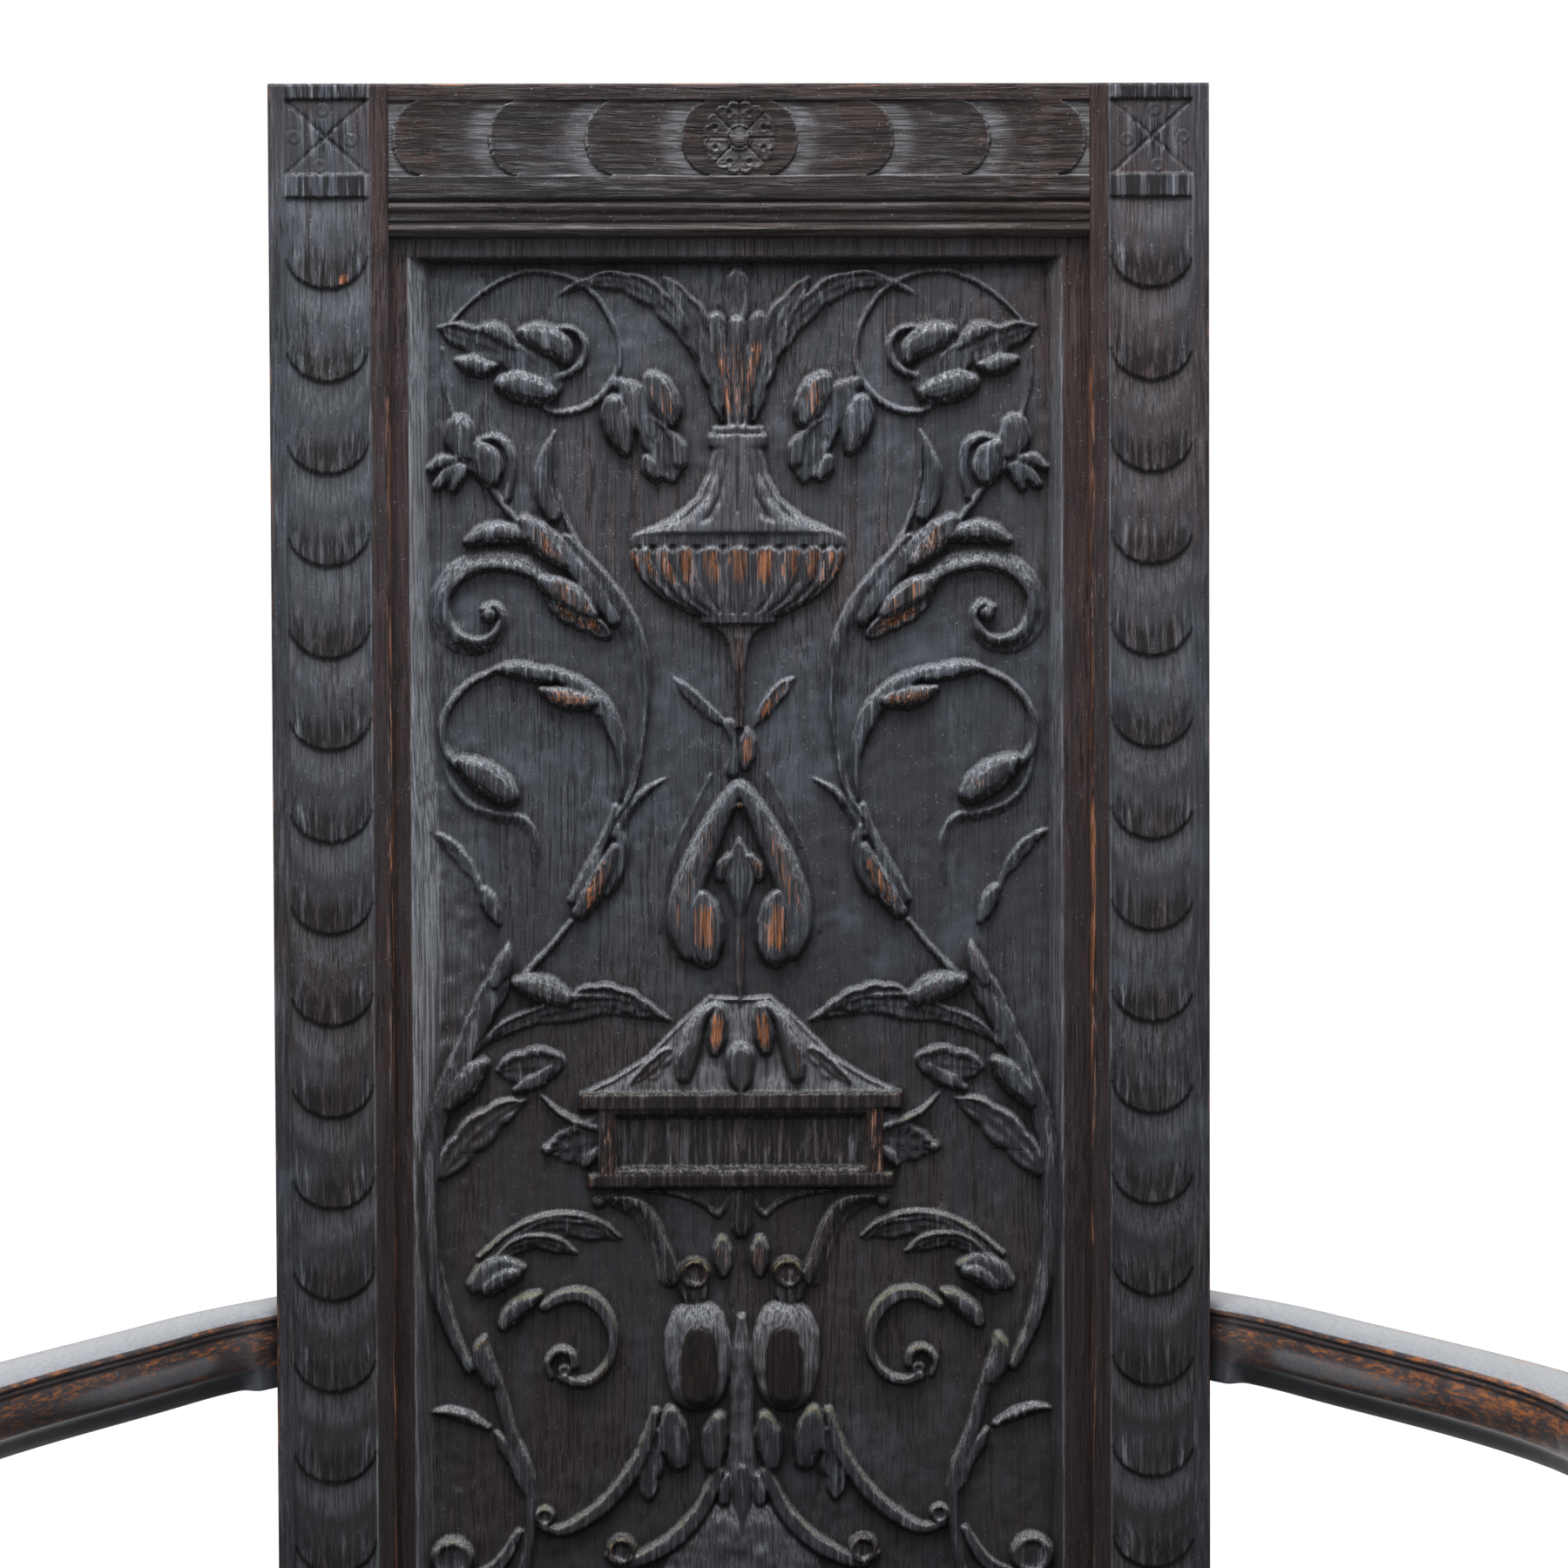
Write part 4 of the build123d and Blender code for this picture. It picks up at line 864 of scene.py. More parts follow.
# ------------------------ pattern sheet of the panel
# The left half and what stands on the middle line, from the head of the panel down. Each
# stroke gives its section, its height, its widths and its path in drawing units.
ROUND, RIDGE, HOLLOW, LEAF, BUD, CUP, FLAT = Form
SPRAY = (  # leaves in the mouth of the urn
    Stroke(LEAF, 5.0, (6, 22, 32, 28, 22), (847, 305, 847, 322, 847, 338, 847, 354, 847, 370), lobes=2),
    Stroke(BUD, 6.6, (20, 24, 20), (821, 366, 823, 378, 826, 392)),
    Stroke(ROUND, 6.4, (24, 24, 18, 13, 11), (822, 370, 825, 400, 830, 430, 834, 460, 838, 490), wear=0.55),
    Stroke(ROUND, 7.0, (22, 24, 22, 16, 12), (847, 372, 847, 400, 847, 430, 847, 460, 847, 490), wear=0.2),
    Stroke(LEAF, 7.0, (10, 30, 38, 34, 22, 10), (764, 320, 779, 340, 794, 362, 806, 392, 817, 430,
        826, 478), lobes=5),
    Stroke(ROUND, 3.0, (4, 6, 7), (782, 350, 806, 412, 828, 482)),
    Stroke(LEAF, 5.4, (2, 16, 30, 32, 26, 12), (636, 341, 664, 327, 700, 321, 738, 332, 772, 362,
        806, 412), lobes=5),
    Stroke(ROUND, 2.6, (6, 7, 6), (772, 366, 795, 396, 815, 430)),
)
SIDE_VINE = (  # rings, leaves and flowers beside the urn
    Stroke(ROUND, 3.0, (5, 7, 8, 8, 8, 9, 10, 9), (512, 376, 549, 339, 586, 317, 616, 311, 653, 319, 682, 339,
        704, 376, 711, 413, 697, 446, 671, 468, 638, 474, 620, 464)),
    Stroke(ROUND, 2.4, (4, 6, 6), (507, 400, 509, 440, 520, 482)),
    Stroke(LEAF, 5.2, (3, 30, 42, 42, 34, 20), (500, 375, 526, 384, 552, 394, 578, 404, 600, 416,
        616, 428), lobes=3),
    Stroke(BUD, 5.6, (12, 26, 24, 10), (526, 414, 540, 418, 554, 422, 568, 420)),
    Stroke(BUD, 5.4, (12, 26, 22, 10), (556, 376, 568, 380, 580, 388, 592, 400)),
    Stroke(ROUND, 4.0, (46, 52, 40), (596, 410, 614, 424, 628, 440)),
    Stroke(BUD, 7.4, (18, 36, 42, 34, 16), (600, 382, 616, 386, 632, 393, 644, 402, 650, 412)),
    Stroke(ROUND, 4.2, (6, 9, 11, 12, 12), (628, 376, 656, 378, 671, 396, 665, 420, 640, 434)),
    Stroke(BUD, 7.2, (24, 38, 40, 34, 20), (578, 440, 592, 442, 606, 446, 620, 450, 632, 452)),
    Stroke(ROUND, 4.0, (34, 44, 36), (724, 452, 736, 472, 748, 492)),
    Stroke(BUD, 7.6, (24, 40, 42, 36, 20), (748, 436, 754, 446, 760, 458, 766, 470, 770, 482), wear=0.25),
    Stroke(BUD, 7.2, (26, 38, 38, 28, 14), (704, 464, 706, 478, 710, 492, 714, 506, 718, 518), wear=0.03),
    Stroke(ROUND, 3.6, (16, 22, 20), (706, 438, 722, 448, 738, 462)),
    Stroke(LEAF, 5.6, (24, 40, 44, 38, 18), (744, 486, 754, 504, 762, 520, 768, 536, 771, 550), lobes=2),
    Stroke(BUD, 5.8, (12, 22, 20), (770, 498, 778, 512, 780, 530)),
    Stroke(BUD, 5.6, (12, 22, 18), (742, 526, 746, 538, 752, 546)),
    Stroke(ROUND, 3.8, (34, 44, 30), (524, 504, 538, 520, 552, 534)),
    Stroke(BUD, 6.2, (12, 34, 40, 30, 16), (530, 480, 528, 490, 528, 502, 530, 514, 536, 524)),
    Stroke(BUD, 6.2, (20, 36, 38, 24), (550, 514, 556, 524, 560, 536, 562, 550)),
    Stroke(BUD, 5.0, (14, 20, 12), (522, 528, 506, 530, 494, 538)),
    Stroke(BUD, 5.0, (16, 20, 14), (526, 536, 512, 546, 502, 558)),
    Stroke(BUD, 5.0, (16, 20, 12), (532, 538, 524, 550, 520, 562)),
    Stroke(ROUND, 3.8, (8, 14, 13, 11), (548, 505, 568, 503, 583, 514, 588, 540, 582, 572)),
    Stroke(ROUND, 3.4, (10, 10, 9), (558, 552, 574, 576, 594, 600)),
)
UPPER_SCROLL = (  # scrolls and buds from the urn down to the husk
    Stroke(BUD, 5.0, (3, 14, 24, 26, 20), (636, 494, 626, 522, 622, 548, 626, 572, 634, 592)),
    Stroke(RIDGE, 4.2, (3, 6, 7, 8, 8), (637, 494, 636, 530, 640, 566, 652, 604, 672, 640)),
    Stroke(BUD, 6.6, (14, 26, 30, 26, 12), (538, 622, 554, 614, 572, 611, 590, 613, 604, 618)),
    Stroke(BUD, 7.6, (18, 34, 36, 28, 14), (602, 598, 612, 610, 622, 622, 634, 634, 648, 648), wear=0.4),
    Stroke(ROUND, 5.0, (16, 30, 26, 18), (622, 604, 650, 638, 678, 672, 704, 712)),
    Stroke(CUP, 5.2, (16, 26, 28, 24, 18, 13, 11, 9), (650, 620, 678, 655, 708, 695, 730, 740, 738, 795,
        735, 850, 725, 905, 704, 940)),
    Stroke(CUP, 5.6, (24, 26, 26, 26, 26, 28, 26, 20, 14, 10), (640, 668, 600, 648, 560, 643, 526, 656,
        506, 684, 506, 712, 520, 734, 546, 742, 568, 732, 578, 710, 568, 694, 554, 698)),
    Stroke(BUD, 6.2, (20,), (561, 706)),
    Stroke(BUD, 7.6, (20, 34, 36, 30, 16), (624, 668, 636, 674, 650, 682, 664, 692, 680, 706), wear=0.35),
    Stroke(LEAF, 6.6, (10, 24, 30, 26, 16), (628, 688, 644, 700, 660, 708, 678, 716,
        696, 730), lobes=4, wear=0.8),
    Stroke(ROUND, 4.8, (7, 12, 20, 26, 24, 18, 10), (712, 918, 714, 884, 709, 850, 694, 816, 668, 790,
        636, 774, 606, 768)),
    Stroke(BUD, 5.4, (6, 18, 24, 22, 12), (564, 770, 580, 768, 598, 770, 616, 774, 632, 780)),
    Stroke(ROUND, 4.0, (10, 11, 11, 12, 12), (566, 771, 540, 784, 519, 806, 508, 834, 511, 862, 525, 880)),
    Stroke(BUD, 6.8, (12, 24, 30, 26, 16), (622, 792, 634, 797, 648, 801, 664, 803, 682, 806), wear=0.6),
    Stroke(BUD, 7.4, (16, 34, 42, 40, 26), (530, 874, 544, 884, 558, 893, 572, 903, 584, 914), wear=0.1),
    Stroke(CUP, 3.2, (7, 10, 14, 16, 12, 5), (506, 858, 516, 900, 538, 926, 570, 938, 600, 944, 614, 972,
        612, 1016)),
    Stroke(RIDGE, 3.4, (2, 12, 18, 14), (768, 892, 744, 906, 722, 928, 706, 958)),
    Stroke(ROUND, 4.6, (9, 13, 16, 16, 12), (706, 926, 698, 954, 684, 984, 668, 1012, 656, 1034)),
    Stroke(ROUND, 4.8, (10, 16, 20, 16), (710, 950, 713, 974, 708, 1000, 696, 1024)),
    Stroke(BUD, 7.4, (14, 24, 28, 28, 20), (705, 974, 697, 994, 686, 1014, 674, 1034, 665, 1048), wear=0.6),
    Stroke(ROUND, 3.4, (8, 9, 10), (656, 1058, 630, 1090, 596, 1126)),
    Stroke(LEAF, 3.6, (2, 15, 20, 12, 6), (488, 953, 510, 966, 530, 988, 545, 1010, 552, 1030), lobes=4),
    Stroke(BUD, 4.6, (10, 22, 20, 10), (556, 1022, 560, 1034, 566, 1048, 572, 1060)),
)
MIDDLE_SCROLL = (  # leaves and scrolls beside the tablet
    Stroke(LEAF, 5.4, (4, 20, 34, 34, 26, 18), (583, 1082, 580, 1104, 572, 1128, 560, 1152, 546, 1176,
        534, 1200), lobes=3),
    Stroke(BUD, 7.0, (8, 20, 24, 18), (582, 1090, 579, 1102, 574, 1116, 568, 1130)),
    Stroke(BUD, 7.2, (18, 34, 36, 26), (594, 1128, 612, 1132, 630, 1138, 646, 1146), wear=0.05),
    Stroke(LEAF, 6.4, (4, 20, 30, 30, 18, 2), (642, 1156, 662, 1144, 688, 1142, 716, 1149, 744, 1161,
        772, 1174), lobes=6),
    Stroke(LEAF, 5.0, (8, 18, 28, 36, 34, 20, 2), (546, 1206, 578, 1182, 618, 1166, 664, 1156, 704, 1154,
        740, 1162, 772, 1175), lobes=3),
    Stroke(ROUND, 4.8, (26, 28, 26, 26, 24, 22, 20, 16), (572, 1130, 548, 1180, 522, 1232, 502, 1290,
        493, 1350, 493, 1410, 500, 1468, 516, 1525, 538, 1572)),
    Stroke(BUD, 7.4, (18, 32, 36, 30, 16), (554, 1222, 544, 1232, 534, 1244, 524, 1256, 516, 1270)),
    Stroke(LEAF, 4.8, (10, 40, 48, 30), (572, 1230, 594, 1226, 616, 1224, 638, 1220), lobes=2),
    Stroke(BUD, 4.4, (10, 22, 22, 12), (592, 1252, 606, 1244, 620, 1238, 632, 1226)),
    Stroke(LEAF, 5.4, (8, 34, 44, 40, 22), (602, 1264, 578, 1276, 554, 1294, 530, 1318,
        508, 1348), lobes=3, tint=-0.4),
    Stroke(ROUND, 4.2, (4, 7, 8, 8, 8, 8), (712, 1422, 690, 1404, 656, 1395, 618, 1399, 582, 1417,
        550, 1444)),
    Stroke(LEAF, 4.0, (4, 28, 30, 20, 12, 8), (708, 1425, 690, 1416, 656, 1410, 618, 1412, 584, 1426,
        554, 1450), lobes=3),
    Stroke(LEAF, 6.2, (5, 22, 26, 20, 10), (662, 1440, 640, 1430, 614, 1425, 590, 1432, 568, 1446), lobes=2),
    Stroke(ROUND, 5.4, (14, 24, 28, 22), (598, 1456, 580, 1450, 560, 1458, 545, 1476)),
    Stroke(BUD, 7.4, (20, 26, 26, 22), (592, 1462, 582, 1464, 572, 1470, 560, 1479)),
    Stroke(BUD, 6.6, (10, 22, 28, 26, 16), (618, 1486, 608, 1492, 596, 1500, 586, 1510, 578, 1522)),
    Stroke(FLAT, 5.0, (14, 18, 20, 18, 14, 12, 13, 14), (624, 1501, 646, 1489, 672, 1489, 693, 1507,
        703, 1536, 700, 1562, 684, 1582, 664, 1588, 646, 1582)),
    Stroke(ROUND, 5.0, (8, 11, 12, 11), (632, 1582, 629, 1564, 641, 1551, 655, 1555, 659, 1569)),
    Stroke(HOLLOW, 5.8, (17,), (648, 1574)),
    Stroke(BUD, 6.8, (8, 22, 28, 26, 18), (556, 1536, 553, 1548, 554, 1560, 558, 1574, 564, 1588)),
    Stroke(ROUND, 4.2, (16, 18, 18, 17, 16, 16), (562, 1566, 574, 1604, 586, 1646, 604, 1688, 610, 1730,
        604, 1790, 590, 1850)),
    Stroke(RIDGE, 4.0, (2, 16, 18, 10), (490, 1622, 512, 1622, 536, 1628, 560, 1640)),
    Stroke(BUD, 4.6, (8, 20, 18, 10), (570, 1646, 578, 1660, 586, 1674, 592, 1690)),
    Stroke(BUD, 4.4, (8, 18, 16, 8), (586, 1672, 592, 1686, 598, 1702, 604, 1716)),
)
HUSK = (  # the arched husk and its buds
    Stroke(LEAF, 4.2, (2, 14, 20, 14, 6), (770, 776, 784, 790, 800, 806, 818, 822,
        838, 836), lobes=2, lone=True),
    Stroke(LEAF, 4.6, (2, 16, 24, 16, 6), (915, 776, 902, 786, 890, 800, 878, 816,
        866, 834), lobes=2, wear=0.8, lone=True),
    Stroke(BUD, 5.6, (8, 22, 22, 12), (857, 838, 858, 850, 857, 864, 855, 880), wear=1.0, lone=True),
    Stroke(ROUND, 3.2, (16, 10, 20), (836, 832, 842, 856, 840, 884), lone=True),
    Stroke(ROUND, 1.2, (5, 5, 5, 5), (816, 890, 796, 930, 774, 976, 762, 1022, 757, 1070)),
    Stroke(ROUND, 6.4, (20, 28, 34, 38, 38, 34, 28), (845, 904, 828, 932, 810, 968, 795, 1004, 784, 1038,
        781, 1066, 790, 1090), wear=0.12, tint=-0.25),
    Stroke(ROUND, 5.0, (5, 8, 5), (832, 934, 848, 924, 865, 934), wear=0.8, lone=True),
    Stroke(BUD, 7.8, (16, 38, 46, 46, 34), (806, 1028, 807, 1044, 808, 1062, 809, 1080, 809, 1096), wear=0.8),
    Stroke(RIDGE, 4.8, (3, 26, 40, 26, 14), (849, 962, 849, 980, 849, 998, 849, 1018, 849, 1050)),
    Stroke(BUD, 4.8, (12, 18, 12), (836, 984, 828, 996, 826, 1008), wear=0.5),
    Stroke(RIDGE, 4.6, (10, 16, 14, 12, 5), (849, 1040, 849, 1070, 849, 1100, 849, 1130,
        849, 1156), wear=0.3),
)
CREST = (  # leaves on the roof, horns and knobs of the tablet
    Stroke(BUD, 7.6, (14, 26, 28, 16), (826, 1156, 824, 1172, 822, 1190, 820, 1206), wear=0.9),
    Stroke(ROUND, 6.8, (10, 20, 28, 30, 22), (820, 1153, 804, 1168, 795, 1190, 789, 1212,
        785, 1234), tint=-0.5),
    Stroke(BUD, 7.6, (8, 18, 20, 12), (790, 1196, 786, 1210, 783, 1224, 781, 1236), wear=0.1),
    Stroke(LEAF, 6.2, (14, 28, 28, 10), (768, 1206, 756, 1220, 742, 1234, 724, 1246), lobes=3, tint=-0.5),
    Stroke(BUD, 7.8, (10, 36, 42, 24, 4), (849, 1198, 849, 1212, 849, 1226, 849, 1240,
        849, 1256), lobes=2, tint=-0.3),
    Stroke(LEAF, 4.4, (18, 42, 56, 62), (634, 1320, 652, 1316, 670, 1312, 690, 1306)),
    Stroke(ROUND, 5.8, (4, 8, 10, 12, 12), (621, 1258, 636, 1274, 652, 1284, 670, 1291, 688, 1296)),
    Stroke(BUD, 4.8, (12, 16, 12), (686, 1320, 679, 1328, 671, 1338)),
    Stroke(BUD, 5.4, (15,), (628, 1320)),
    Stroke(BUD, 4.6, (17,), (687, 1381)),
)
DROPS = (  # capsules, stalk and ringed arms under the tablet
    Stroke(CUP, 5.6, (16, 28, 26, 26, 28), (700, 1378, 728, 1386, 746, 1408, 757, 1436, 768, 1466), tint=0.4),
    Stroke(ROUND, 4.6, (30, 42, 38), (794, 1464, 795, 1474, 796, 1482), tint=0.4),
    Stroke(HOLLOW, 6.8, (38,), (797, 1462), tint=0.9),
    Stroke(ROUND, 2.6, (4, 8, 10, 8), (738, 1367, 776, 1371, 804, 1381, 822, 1396), tint=0.5),
    Stroke(ROUND, 2.6, (8, 10, 6), (824, 1396, 834, 1384, 842, 1370), tint=0.5),
    Stroke(RIDGE, 3.8, (3, 28, 34, 16), (849, 1364, 849, 1380, 849, 1396, 849, 1416), tint=0.5),
    Stroke(BUD, 5.4, (14, 24, 24, 14), (829, 1424, 829, 1436, 830, 1448, 830, 1462), wear=0.1),
    Stroke(ROUND, 4.2, (8, 20, 26, 26, 34), (849, 1512, 849, 1556, 849, 1600, 849, 1644,
        849, 1690), tint=-0.5),
    Stroke(ROUND, 5.6, (70, 80, 82, 80, 72), (800, 1526, 800, 1540, 800, 1556, 800, 1572,
        800, 1586), tint=-0.6),
    Stroke(BUD, 8.4, (40, 48, 50, 50, 44), (802, 1536, 802, 1550, 802, 1566, 802, 1582,
        802, 1596), wear=0.06, tint=1.0),
    Stroke(BUD, 6.4, (20, 36, 36, 26), (770, 1622, 772, 1640, 775, 1658, 779, 1678), wear=0.05),
    Stroke(BUD, 6.4, (20, 32, 32, 24), (824, 1628, 821, 1644, 819, 1660, 818, 1680), wear=0.05),
    Stroke(LEAF, 5.4, (24, 38, 34, 12), (750, 1646, 746, 1670, 744, 1696, 744, 1722), lobes=3),
    Stroke(BUD, 5.8, (10, 20, 18), (834, 1694, 832, 1708, 831, 1722)),
    Stroke(RIDGE, 6.2, (16, 28, 26, 18, 4), (850, 1684, 850, 1702, 850, 1722, 851, 1742, 852, 1762)),
    Stroke(FLAT, 5.0, (12, 18, 20, 19, 12), (752, 1622, 738, 1668, 708, 1714, 674, 1744, 644, 1758,
        622, 1752)),
    Stroke(HOLLOW, 6.0, (24,), (625, 1741)),
    Stroke(FLAT, 5.2, (16, 20, 22, 20, 14), (824, 1690, 806, 1732, 774, 1768, 736, 1790, 714, 1794,
        700, 1786)),
    Stroke(HOLLOW, 6.6, (36,), (713, 1780), tint=0.7),
    Stroke(HOLLOW, 6.0, (52,), (519, 1790)),
    Stroke(HOLLOW, 4.0, (10, 16, 16, 14), (596, 1760, 574, 1796, 546, 1812, 520, 1814)),
)
FOOT = (  # the dome and leaves at the foot
    Stroke(ROUND, 5.4, (110, 150, 190, 200, 180), (849, 1772, 849, 1796, 849, 1826, 849, 1860,
        849, 1890), tint=-0.45),
    Stroke(HOLLOW, 4.4, (14, 20, 22, 16), (790, 1850, 760, 1890, 716, 1908, 676, 1896, 664, 1868)),
    Stroke(BUD, 5.0, (26,), (684, 1868)),
    Stroke(LEAF, 5.2, (8, 34, 30, 12), (600, 1840, 580, 1862, 556, 1882, 526, 1894), lobes=4),
)
CARVING = SPRAY + SIDE_VINE + UPPER_SCROLL + MIDDLE_SCROLL + HUSK + CREST + DROPS + FOOT


@dataclass(frozen=True)
class Edges:
    """Share of the way down the slopes round the panel: 0 at the border, 1 on the ground."""

    side: Array
    head: Array
    inner: Array  # at the nearest edge
    wide: Array  # width of the slope over that of the right one


@dataclass
class CarvedBack:
    """The carved panel, its slopes and its ground, in the opening of the back."""

    plane: BackPlane
    opening_half: float = 149.0
    foot: float = 73.0  # lower edge, millimetres above the seat
    head: float = 726.0
    setback: float = 7.0  # flat border behind the face of the posts
    thickness: float = 22.0
    border_side: float = 9.2
    border_lean: float = 1.8  # the left border is narrower, the right one wider
    border_top: float = 7.6
    border_foot: float = 9.2
    slope: float = 6.5
    slope_top: float = 2.8
    sunk: float = 8.0  # ground below the border
    cell: float = 0.4
    bands: int = 5

    def urn(self, relief: Relief, sheet: PatternSheet) -> None:
        """Raises the turned forms on the middle line: collar, shoulder, bowl, foot and stem.

        A form's half width is a function of height, and its height above the ground is the
        half ellipse over that width, with grooves or gadroons at even angles round it.

        Args:
            relief: the board.
            sheet: its drawing.
        """
        outline = sheet.place(
            (
                (817, 489), (817, 496), (813, 498), (813, 512), (818, 514), (811, 545), (797, 572),
                (770, 594), (738, 609), (726, 614), (723, 620), (724, 641), (736, 667), (760, 689),
                (792, 704), (803, 708), (803, 716), (818, 719), (830, 728), (836, 742), (840, 765),
                (842, 800), (843, 836),
            )
        )
        top, foot = outline[0, 1], outline[-1, 1]
        band = sheet.place(((848, 613), (848, 626), (848, 705), (848, 717)))[:, 1]
        collar = sheet.place(((848, 497), (848, 500), (848, 513)))[:, 1]

        def shape(u: Array, v: Array) -> tuple[Array, Array]:
            """The urn at a place.

            Args:
                u: across.
                v: up from the seat.

            Returns:
                Height and wear; wear below 0 is painted shade in a groove.
            """
            half = np.interp(-v, -outline[:, 1], -outline[:, 0])
            t = np.clip(u / half, -1, 1)
            dome = np.sqrt(np.clip(1 - t**2, 0, 1))
            inside = (np.abs(u) < half) & (v < top) & (v > foot)
            angle = np.arcsin(t)
            shoulder = (v < collar[2]) & (v > band[0])
            bowl = (v < band[1]) & (v > band[2])
            stem = v < band[3]
            tall = 6.4 * dome + 0.8
            flute = bell(np.abs(t) - 0.44, 0.05) + bell(np.abs(t) - 0.78, 0.04)
            flute = flute + 0.7 * bell(t, 0.04) * (v > band[0] + 9)
            flute = np.where(shoulder, flute * ease((v - band[0] - 4) / 4) * ease((collar[2] - 2 - v) / 6), 0.0)
            tall = tall - 1.8 * flute
            gadroon = np.abs(np.cos(angle * 12.0)) ** 0.7
            crown = ease((band[1] - v - 2.2 * (1 - gadroon)) / 2.2)
            tall = np.where(bowl, 1.2 + 6.0 * dome**0.8 - 2.2 * (1 - gadroon) - 1.6 * (1 - crown), tall)
            tall = np.where((v <= band[0]) & (v >= band[1]), 4.4 * dome + 0.8, tall)
            tall = np.where((v <= collar[0]) & (v >= collar[1]), tall - 1.2, tall)
            tall = np.where(stem, 2.2 + 1.6 * np.abs(t) ** 2 + 1.4 * dome, tall)
            rubbed = 0.75 * ease((gadroon - 0.5) / 0.4) * ease((v - band[2] - 11) / 9)
            rubbed = np.where(bowl, rubbed * ease((band[1] - 1.5 - v) / 2), 0)
            # the flutes' negative wear is painted shade in their grooves
            rubbed = rubbed - 0.8 * flute + np.where(stem, 0.05 * (np.abs(t) < 0.5), 0)
            return np.where(inside, tall, 0.0), rubbed * inside

        relief.raise_shape(((-50.0, foot - 1), (50.0, band[3])), shape, -0.5)
        relief.raise_shape(((-1.4, foot - 1), (1.4, band[3] - 6)), shape, 0.9)
        relief.raise_shape(((-50.0, band[3]), (50.0, band[0])), shape)
        relief.raise_shape(((-50.0, band[0]), (50.0, top + 1)), shape, -0.45)

    def tablet(self, relief: Relief, sheet: PatternSheet) -> None:
        """Raises the framed tablet and the swept roof over it.

        The roof is a plate under a curve; the tablet is a moulded frame round a sunk field.

        Args:
            relief: the board.
            sheet: its drawing.
        """
        roof = sheet.place(
            ((838, 1146), (814, 1144), (790, 1165), (769, 1186), (742, 1214), (704, 1238), (665, 1256))
        )
        lines = sheet.place(((665, 1254), (686, 1273), (704, 1279), (704, 1342), (686, 1348), (675, 1364)))
        cornice_top, cornice_foot, field_top, field_foot, sill_top, sill_foot = lines[:, 1]
        cornice_half, frame_half, field_half = -lines[0, 0], -lines[1, 0], -lines[2, 0]
        sill_half = -lines[5, 0]

        def shape(u: Array, v: Array) -> tuple[Array, Array]:
            """The tablet and roof at a place.

            Args:
                u: across.
                v: up from the seat.

            Returns:
                Height and wear.
            """
            side = -np.abs(u)
            line = np.interp(side, roof[::-1, 0], roof[::-1, 1])
            under = (v < line) & (v >= cornice_top) & (side > roof[-1, 0])
            edge = ease(1 - (line - v) / 2.2)
            plate = 2.0 + 1.8 * edge + 1.0 * np.clip(1 - (v - cornice_top) / 40.0, 0, 1)
            cornice = (side > -cornice_half) & (v < cornice_top) & (v >= cornice_foot)
            frame = (side > -frame_half) & (v < cornice_foot) & (v >= sill_top)
            inset = (side > -field_half) & (v < field_top) & (v > field_foot)
            sill = (side > -sill_half) & (v < sill_top) & (v >= sill_foot)
            ogee = np.minimum(side + field_half, np.minimum(field_top - v, 1.9 * (v - field_foot))) / 2.4
            tall = np.where(under, plate, 0.0)
            tall = np.where(cornice, 7.2, tall)
            tall = np.where(frame, 6.2, tall)
            tall = np.where(inset, 5.2 - 2.8 * ease(ogee), tall)
            tall = np.where(sill, 6.8, tall)
            rubbed = np.where(frame & ~inset & (side < -field_half), 0.15, 0.0)
            return tall, rubbed

        def field(u: Array, v: Array) -> tuple[Array, Array]:
            """Height and wear of the sunk field alone."""
            tall, rubbed = shape(u, v)
            return tall * (np.abs(u) < field_half - 1.5), rubbed

        relief.raise_shape(((-72.0, cornice_top), (72.0, roof[:, 1].max() + 2)), shape, -0.7)
        relief.raise_shape(((-72.0, sill_foot - 1), (72.0, cornice_top - 0.2)), shape, 0.85)
        relief.raise_shape(((-field_half, field_foot + 1.5), (field_half, field_top - 1.5)), field, 0.45)

    def relief(self) -> Relief:
        """Carves the whole panel.

        Returns:
            Heights above the ground, before the slopes and borders are added.
        """
        sheet = PatternSheet(self.plane.length)
        board = Relief(self.opening_half + 0.4, self.foot, self.head, self.cell)
        self.tablet(board, sheet)
        for stroke in CARVING:
            board.carve(stroke, sheet)
        self.urn(board, sheet)
        board.slide(-sheet.shift)
        return board

    def edges(self, u: Array, v: Array) -> Edges:
        """Share of the way down each slope.

        Args:
            u: across.
            v: up from the seat.

        Returns:
            The shares; the left slope is the broader one, most of all at the height of the husk.
        """
        wide = 1 + (0.3 + 0.6 * bell(v - 426, 90)) * (u < 0)
        side = (self.opening_half - np.abs(u + self.border_lean) - self.border_side) / (self.slope * wide)
        head = (self.head - 0.5 - v - self.border_top) / self.slope_top
        foot = (v - self.foot - self.border_foot) / self.slope
        return Edges(side, head, np.minimum(np.minimum(side, head), foot), wide)

